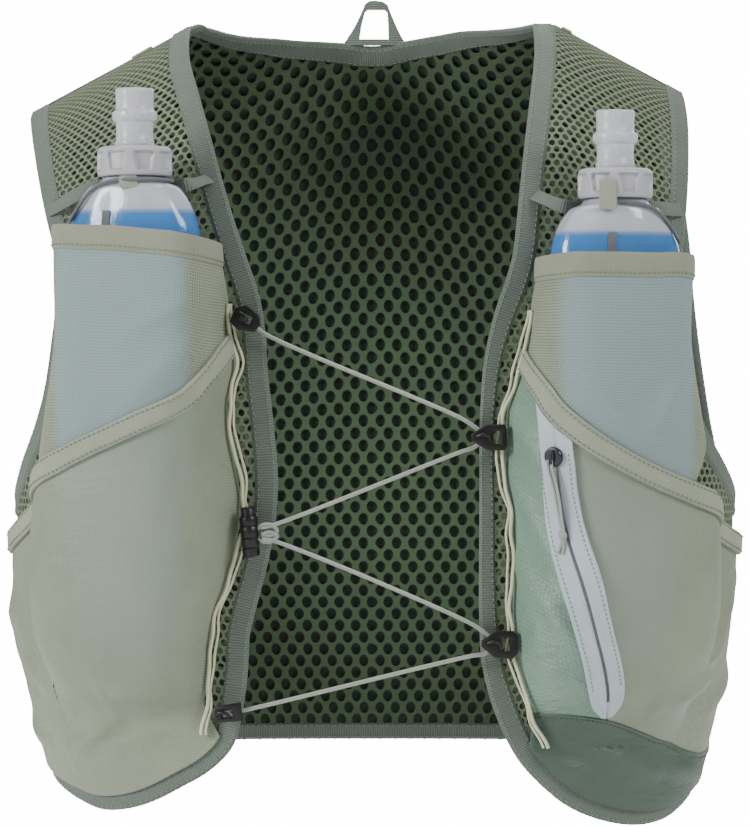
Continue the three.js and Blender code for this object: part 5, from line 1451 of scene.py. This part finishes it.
def flask_pocket(side):
    cols, rows = 96, 56
    rim = spread(side, line(side, side.rim, 90), cols)
    rim_low = beside(rim, side, side.sign * RIM_HEIGHT)
    top = beside(rim, side, side.sign * (RIM_HEIGHT - 1.0))
    bottom = spread(side, tape_from_foot(side, side.pocket_outer), cols)[::-1]
    outer = even(np.vstack([top[:1], placed(side, *np.array(side.pocket_side).T), bottom[:1]]), rows)
    inner = cord_edge(side, top[-1:], side.inner_from, side.pocket_foot[0] - 0.01, bottom[-1:], rows)
    sewn_sheet(f"flask_pocket_{side.name}", side, patch(top, bottom, outer, inner), "pocket", POCKET,
               dents=fold_lines(side, side.pocket_folds),
               masks=flask_behind(side, 0.85))
    shares = np.linspace(0, 1, 12)[:, None, None]
    band = rim[None] * (1 - shares) + rim_low[None] * shares
    lift = POCKET_LIFT + LAYER_GAP
    swell = np.broadcast_to(0.5 * (1 - np.abs(2 * shares[..., 0] - 1) ** 4), band.shape[:2])
    outside = laid(side, band, lift + swell)
    fold = cloth_wall(f"pocket_rim_{side.name}_fold", outside, laid(side, band, lift - 2.0))
    dress(fold, VEST, "rim", RIM, f"pocket_rim_{side.name}")
    stitch_line(f"pocket_rim_{side.name}_stitch", side, beside(rim, side, side.sign * (RIM_HEIGHT - 2.0)),
                lift + 0.6, THREAD, "rim", pitch=2.6, length=1.9)


def pocket_tape(side):
    places = spread(side, line(side, side.tape, 160), 130)
    shifts = np.linspace(-1, 1, 9)
    lines = [beside(places, side, shift * TAPE_WIDTH / 2) for shift in shifts]
    tops = [OVERLAY_LIFT + 1.4 - 0.9 * abs(shift) ** 5 for shift in shifts]
    tape = band_wall(f"pocket_tape_{side.name}_elastic", side, lines, tops, OVERLAY_LIFT - 1.2)
    dress(tape, VEST, "rim", TAPE, f"pocket_tape_{side.name}")
    for label, offset in (("upper", -0.36), ("lower", 0.36)):
        row = beside(places, side, offset * TAPE_WIDTH)
        stitch_line(f"pocket_tape_{side.name}_stitch_{label}", side, row, OVERLAY_LIFT + 1.5, THREAD, "rim",
                    pitch=2.8, length=2.0)


def hem_top(side, from_down, steps):
    places = line(side, side.edge, 160)
    start = int(np.argmax(places[:, 1] >= float(run_of_down(from_down))))
    return even(beside(places[start:], None, side.sign * (BINDING_WIDTH / 2 - 3.0)), steps)


def side_seam(side, start, end, steps):
    runs = np.linspace(start, end, steps + 1)
    turns = np.full(steps + 1, side.sign * (SIDE_SEAM_TURN - 0.3))
    return np.stack([turns, runs, np.ones(steps + 1)], axis=1)


def lower_pocket_left():
    side = LEFT
    cols, rows = 120, 84
    top = spread(side, tape_from_foot(side), cols)
    bottom = hem_top(side, 0.905, cols)
    first = cord_edge(side, top[:1], side.pocket_foot[0] + 0.01, 0.87, bottom[:1], rows)
    last = side_seam(side, top[-1, 1], bottom[-1, 1], rows)
    sewn_sheet("lower_pocket_left", side, patch(top, bottom, first, last), "pocket", LOWER,
               dents=fold_lines(side, side.lower_folds),
               masks=flask_behind(side, 0.5))


def near(places, turn):
    return int(np.argmax(places[:, 0] >= turn))


def right_panels():
    """The viewer's right: ripstop panel, zip, stretch panel and the flap along the hem."""
    side = RIGHT
    cols, rows = 96, 72
    tape = tape_from_foot(side)
    flap = line(side, FLAP_TOP, 120)
    zip_rows = placed(side, ZIP["down"], ZIP["turn"])

    def zip_line(start, end):
        return even(np.vstack([start[None], zip_rows[1:], end[None]]), rows)

    tape_cut = near(tape, ZIP["turn"][0])
    flap_cut = near(flap, ZIP_FOOT_TURN)
    stop_top = even(tape[:tape_cut + 1], 40)
    stop_bottom = even(flap[:flap_cut + 1], 40)
    first = cord_edge(side, stop_top[:1], 0.45, 0.86, stop_bottom[:1], rows)
    last = zip_line(stop_top[-1], stop_bottom[-1])
    sewn_sheet("ripstop_panel", side, patch(stop_top, stop_bottom, first, last), "ripstop", RIPSTOP,
               thick=1.0, dents=fold_lines(side, RIPSTOP_FOLDS))
    top = spread(side, tape[tape_cut + 1:], cols)
    bottom = even(flap[flap_cut + 1:], cols)
    first = zip_line(top[0], bottom[0])
    last = side_seam(side, top[-1, 1], bottom[-1, 1], rows)
    sewn_sheet("lower_pocket_right", side, patch(top, bottom, first, last), "pocket", LOWER,
               dents=fold_lines(side, side.lower_folds),
               masks=flask_behind(side, 0.35))
    flap_top = even(beside(flap, side, 1.5), cols)
    flap_bottom = hem_top(side, 0.922, cols)
    first = np.linspace(flap_top[0], flap_bottom[0], 21)
    last = side_seam(side, flap_top[-1, 1], flap_bottom[-1, 1], 20)
    sewn_sheet("hem_flap", side, patch(flap_top, flap_bottom, first, last), "flap", FLAP,
               POCKET_LIFT + 0.7, 1.3,
               fold_lines(side, FLAP_FOLDS))
    stitch_line("hem_flap_stitch", side, beside(flap_top, side, -2.2), POCKET_LIFT + 0.9, DARK_THREAD, "flap",
                pitch=2.8, length=2.0)


def coil_ridge(shift):
    """Height of the zip's tape: a raised band on each side of the coil and a groove under it."""
    return 1.3 + 0.5 * math.exp(-((abs(shift) - 0.2) / 0.1) ** 2) - 0.5 * math.exp(-(shift / 0.07) ** 2)


def zip_closure():
    """The zip: a coated tape, the closed coil down its middle, the slider and its cord."""
    side = RIGHT
    places = line(side, ZIP, 120)
    shifts = np.linspace(-1, 1, 13)
    lines = [beside(places, side, shift * ZIP_WIDTH / 2 * places[:, 2]) for shift in shifts]
    under_tape = beside(line(side, side.tape, 160), side, -side.sign * (TAPE_WIDTH / 2 + 0.3))
    ease = np.clip(1 - np.arange(len(places)) / 32, 0, 1)
    for p in lines:
        p[:, 1] += (np.interp(p[0, 0], under_tape[:, 0], under_tape[:, 1]) - p[0, 1]) * ease
    tops = [OVERLAY_LIFT + coil_ridge(shift) for shift in shifts]
    tape = band_wall("zip_tape_cloth", side, lines, tops, OVERLAY_LIFT - 1.6)
    dress(tape, VEST, "zip", ZIP_TAPE, "zip_tape")
    stitch_line("zip_coil", side, places[6:-8], OVERLAY_LIFT + 1.2, GREY, "zip", pitch=0.95, length=2.6,
                width=0.8, slant=6.0)
    for label, offset in (("left", -0.40), ("right", 0.40)):
        stitch_line(f"zip_tape_stitch_{label}", side, beside(places[4:-14], side, offset * ZIP_WIDTH),
                    OVERLAY_LIFT + 1.4, THREAD, "zip", pitch=2.4, length=1.7, width=0.55)
    frame_at = seat(side, 21.8, 0.552, OVERLAY_LIFT + 1.3 + LAYER_GAP)
    profile = ((3.0, -0.2), (4.6, -0.2), (5.0, 0.2), (5.0, 1.2), (4.6, 1.8), (3.4, 2.1), (2.2, 2.1),
               (0.3, 2.0))
    body = turned("zip_slider_body", profile, frame_at, 40)
    dress(body, VEST, "metal", METAL, "zip_slider")
    bail = [from_seat(frame_at, 0, y, z)
            for y, z in ((3.4, 2.0), (2.6, 3.6), (0, 4.0), (-2.6, 3.4), (-3.4, 2.0))]
    loop, _ = cord("zip_slider_bail", bail, 1.3, 0.6, 8)
    dress(loop, VEST, "metal", METAL)
    pull = ((-2.5, -1.5, 0), (-1.5, -6, 0.4), (1, -13, 0.2), (3.5, -22, 0), (6.2, -32, 0), (8, -38, 0),
            (8.6, -45, 0), (8.2, -48, 0))
    height = 1.0 + PULL_CORD_DIAMETER / 2 + LAYER_GAP
    route = [from_seat(frame_at, x, y, z + height) for x, y, z in pull]
    first, points = cord("zip_pull_cord_first", route, PULL_CORD_DIAMETER, 0.9, 8)
    dress(first, VEST, "lace", LACE, "zip_pull_cord")
    second = [from_seat(frame_at, x + dx, y, z + height + 0.3)
              for (x, y, z), dx in zip(pull, (2.2, 2.2, 2.0, 1.8, 1.2, 0.6, -1.6, -2.4))]
    other, _ = cord("zip_pull_cord_second", second, PULL_CORD_DIAMETER, 0.9, 8)
    dress(other, VEST, "lace", LACE)
    knot = upright(*from_seat(frame_at, 7.8, -38.5, height))
    profile = ((0.3, -2.6), (1.4, -2.2), (2.1, -1.0), (2.2, 0.2), (1.9, 1.4), (1.2, 2.2), (0.3, 2.5))
    knot = turned("zip_pull_knot", profile, knot, 20, lambda a, h, r: 0.25 * np.sin(3 * a + h))
    dress(knot, VEST, "lace", LACE)


for half in SIDES:
    flask_pocket(half)
    pocket_tape(half)
lower_pocket_left()
right_panels()
zip_closure()


# Clips, lock, loop and tabs.
CLIP_OUTLINES = {
    "clip_upper_left": ((-7.5, -4.5), (-2, -6.5), (6, -4.5), (7.5, 0), (5, 4.5), (-3, 6.5), (-7.5, 3)),
    "clip_upper_right": ((-9, 1.5), (-1, 6.5), (8, 6.5), (9, 4), (9, -4), (8, -6.5), (-1, -6.5), (-9, -1.5)),
    "clip_lower_right": ((-9, 1.5), (-2, 6.8), (7, 7), (9, 4), (9, -4), (7, -7), (-2, -6.8), (-9, -1.5)),
    "clip_lower_left": ((-7.5, -3.2), (7, -4.8), (7.5, 4.6), (-6, 4.6)),
}
CLIP_HOLES = {
    "clip_upper_left": ((-3.5, -2), (2.5, -2), (2.5, 2), (-3.5, 2.5)),
    "clip_upper_right": ((1.5, -3.5), (6, -3.5), (6, 3.5), (1.5, 3.5)),
    "clip_lower_right": ((1, -3.5), (5.5, -3.5), (5.5, 3.5), (1, 3.5)),
    "clip_lower_left": ((-3, -1.6), (2.5, -1.8), (2.5, 1.8), (-2.5, 1.8)),
}


def clips():
    for name, outline in CLIP_OUTLINES.items():
        place = clip_seat(name)
        body = plate(name + "_moulding", outline, CLIP_THICK, (CLIP_HOLES[name],), 0.6, place)
        dress(body, VEST, "plastic", BLACK, name)
        ridge = place.copy()
        ridge[:3, 3] += place[:3, 2] * (CLIP_THICK - 0.2)
        hook = [from_seat(ridge, *spot)
                for spot in ((-6, 0.5, 0), (-3.6, 1.6, 1.3), (-0.2, 0.6, 1.6), (0.6, -1.2, 0.6))]
        bar, _ = cord(name + "_hook", hook, 1.9, 0.5, 10)
        dress(bar, VEST, "plastic", BLACK)


def cord_lock():
    """The lacing's lock: a ribbed barrel, its sprung button and the lace's loops beside it."""
    place = lock_seat()
    turn_up = place.copy()
    turn_up[:3, 2] = place[:3, 1]
    turn_up[:3, 1] = -place[:3, 2]
    half = LOCK_LENGTH / 2
    bore = LOCK_RADIUS - 0.9
    profile = ((0.4, -half), (3.4, -half), (4.0, -half + 0.5), (4.3, -half + 1.4), (4.5, -6), (4.0, -5.4),
               (4.5, -4.8), (4.6, -1), (4.1, -0.4), (4.6, 0.2), (4.6, 5), (4.1, 5.6), (4.6, 6.2),
               (4.6, half - 0.8), (4.3, half - 0.1), (bore, half - 0.1), (bore, half - 6.5), (0.4, half - 6.5))
    barrel = turned("cord_lock_barrel_moulding", profile, turn_up, 36)
    dress(barrel, VEST, "plastic", BLACK, "cord_lock_barrel")
    foot = half - 2.2
    radius = bore - 0.25
    knob = ((0.4, foot), (radius, foot), (radius, foot + 5.6), (radius - 0.5, foot + 6.6),
            (radius - 1.4, foot + 7.0), (0.4, foot + 6.8))
    button = turned("cord_lock_button_moulding", knob, turn_up, 36)
    dress(button, "lock_button", "plastic", BLACK, "cord_lock_button")
    for label, y, swing in (("upper", 3.4, 4.2), ("lower", -1.4, -3.4)):
        bends = ((LOCK_RADIUS - 1.0, 0, 0), (7, swing * 0.5, 0.6), (11.5, swing * 0.4, 0.4),
                 (14, -swing * 0.3, 0), (11, -swing * 0.9, -0.4), (6, -swing * 0.7, -0.2))
        route = [from_seat(place, x, y + dy, z) for x, dy, z in bends]
        loop, _ = cord(f"lock_loop_{label}", route, LACE_DIAMETER * 0.9, 0.9, 8)
        dress(loop, VEST, "lace", LACE)


def flat_uv(obj, first, second):
    """A flat map of the cloth in centimetres along two axes."""
    layer = obj.data.uv_layers.new(name="cloth")
    for corner in obj.data.loops:
        co = obj.data.vertices[corner.vertex_index].co
        layer.data[corner.index].uv = (co[first] * 100, co[second] * 100)


FLASK_TABS = ((LEFT, (-122.7, -137.4, -84.6), 9.5, 6.4), (RIGHT, (115.9, -140.2, -91.0), 9, 15.4))


def flask_tabs():
    """The small folded tabs that take the retention cords at the flasks' necks."""
    for side, place, width, height in FLASK_TABS:
        outline = cut_corners(width, height, 1)
        tab = plate(f"flask_tab_{side.name}", outline, 1.3, (), 0.4, facing_front(place))
        flat_uv(tab, 0, 2)
        dress(tab, VEST, "binding", TAPE)


def hang_loop():
    nape = neck_half(RIGHT)[0]
    foot = on_cloth(None, 0.0, nape[1] + BINDING_WIDTH / 2 + 2 * LAYER_GAP, 0.7)
    outline = ((-18, -2), (-11.5, 8), (-7.2, 17), (-5.6, 21), (-3.2, 22.8), (0, 23), (4.4, 22.4), (7, 20.6),
               (10.2, 12.5), (13.6, 5), (17.6, -2))
    hole = ((-8.5, 1.6), (-7.4, 9), (-5.6, 16.2), (-4.2, 17.6), (5.2, 17.6), (6.8, 16.2), (7.2, 9),
            (7.4, 1.6))
    loop = plate("hang_loop_webbing", outline, 1.4, (hole,), 0.4, facing_front(foot))
    flat_uv(loop, 2, 0)
    dress(loop, VEST, "binding", BINDING, "hang_loop")


def shoulder_tabs():
    for side in SIDES:
        turn, down, width, height, spin = side.tab
        place = seat(None, side.sign * turn, down, 0.3, spin)
        tab = plate(f"shoulder_tab_{side.name}_fold", cut_corners(width, height, 0.8), 1.6, (), 0.5, place)
        flat_uv(tab, 0, 1)
        dress(tab, VEST, "rim", RIM, f"shoulder_tab_{side.name}")


clips()
cord_lock()
hang_loop()
shoulder_tabs()
flask_tabs()
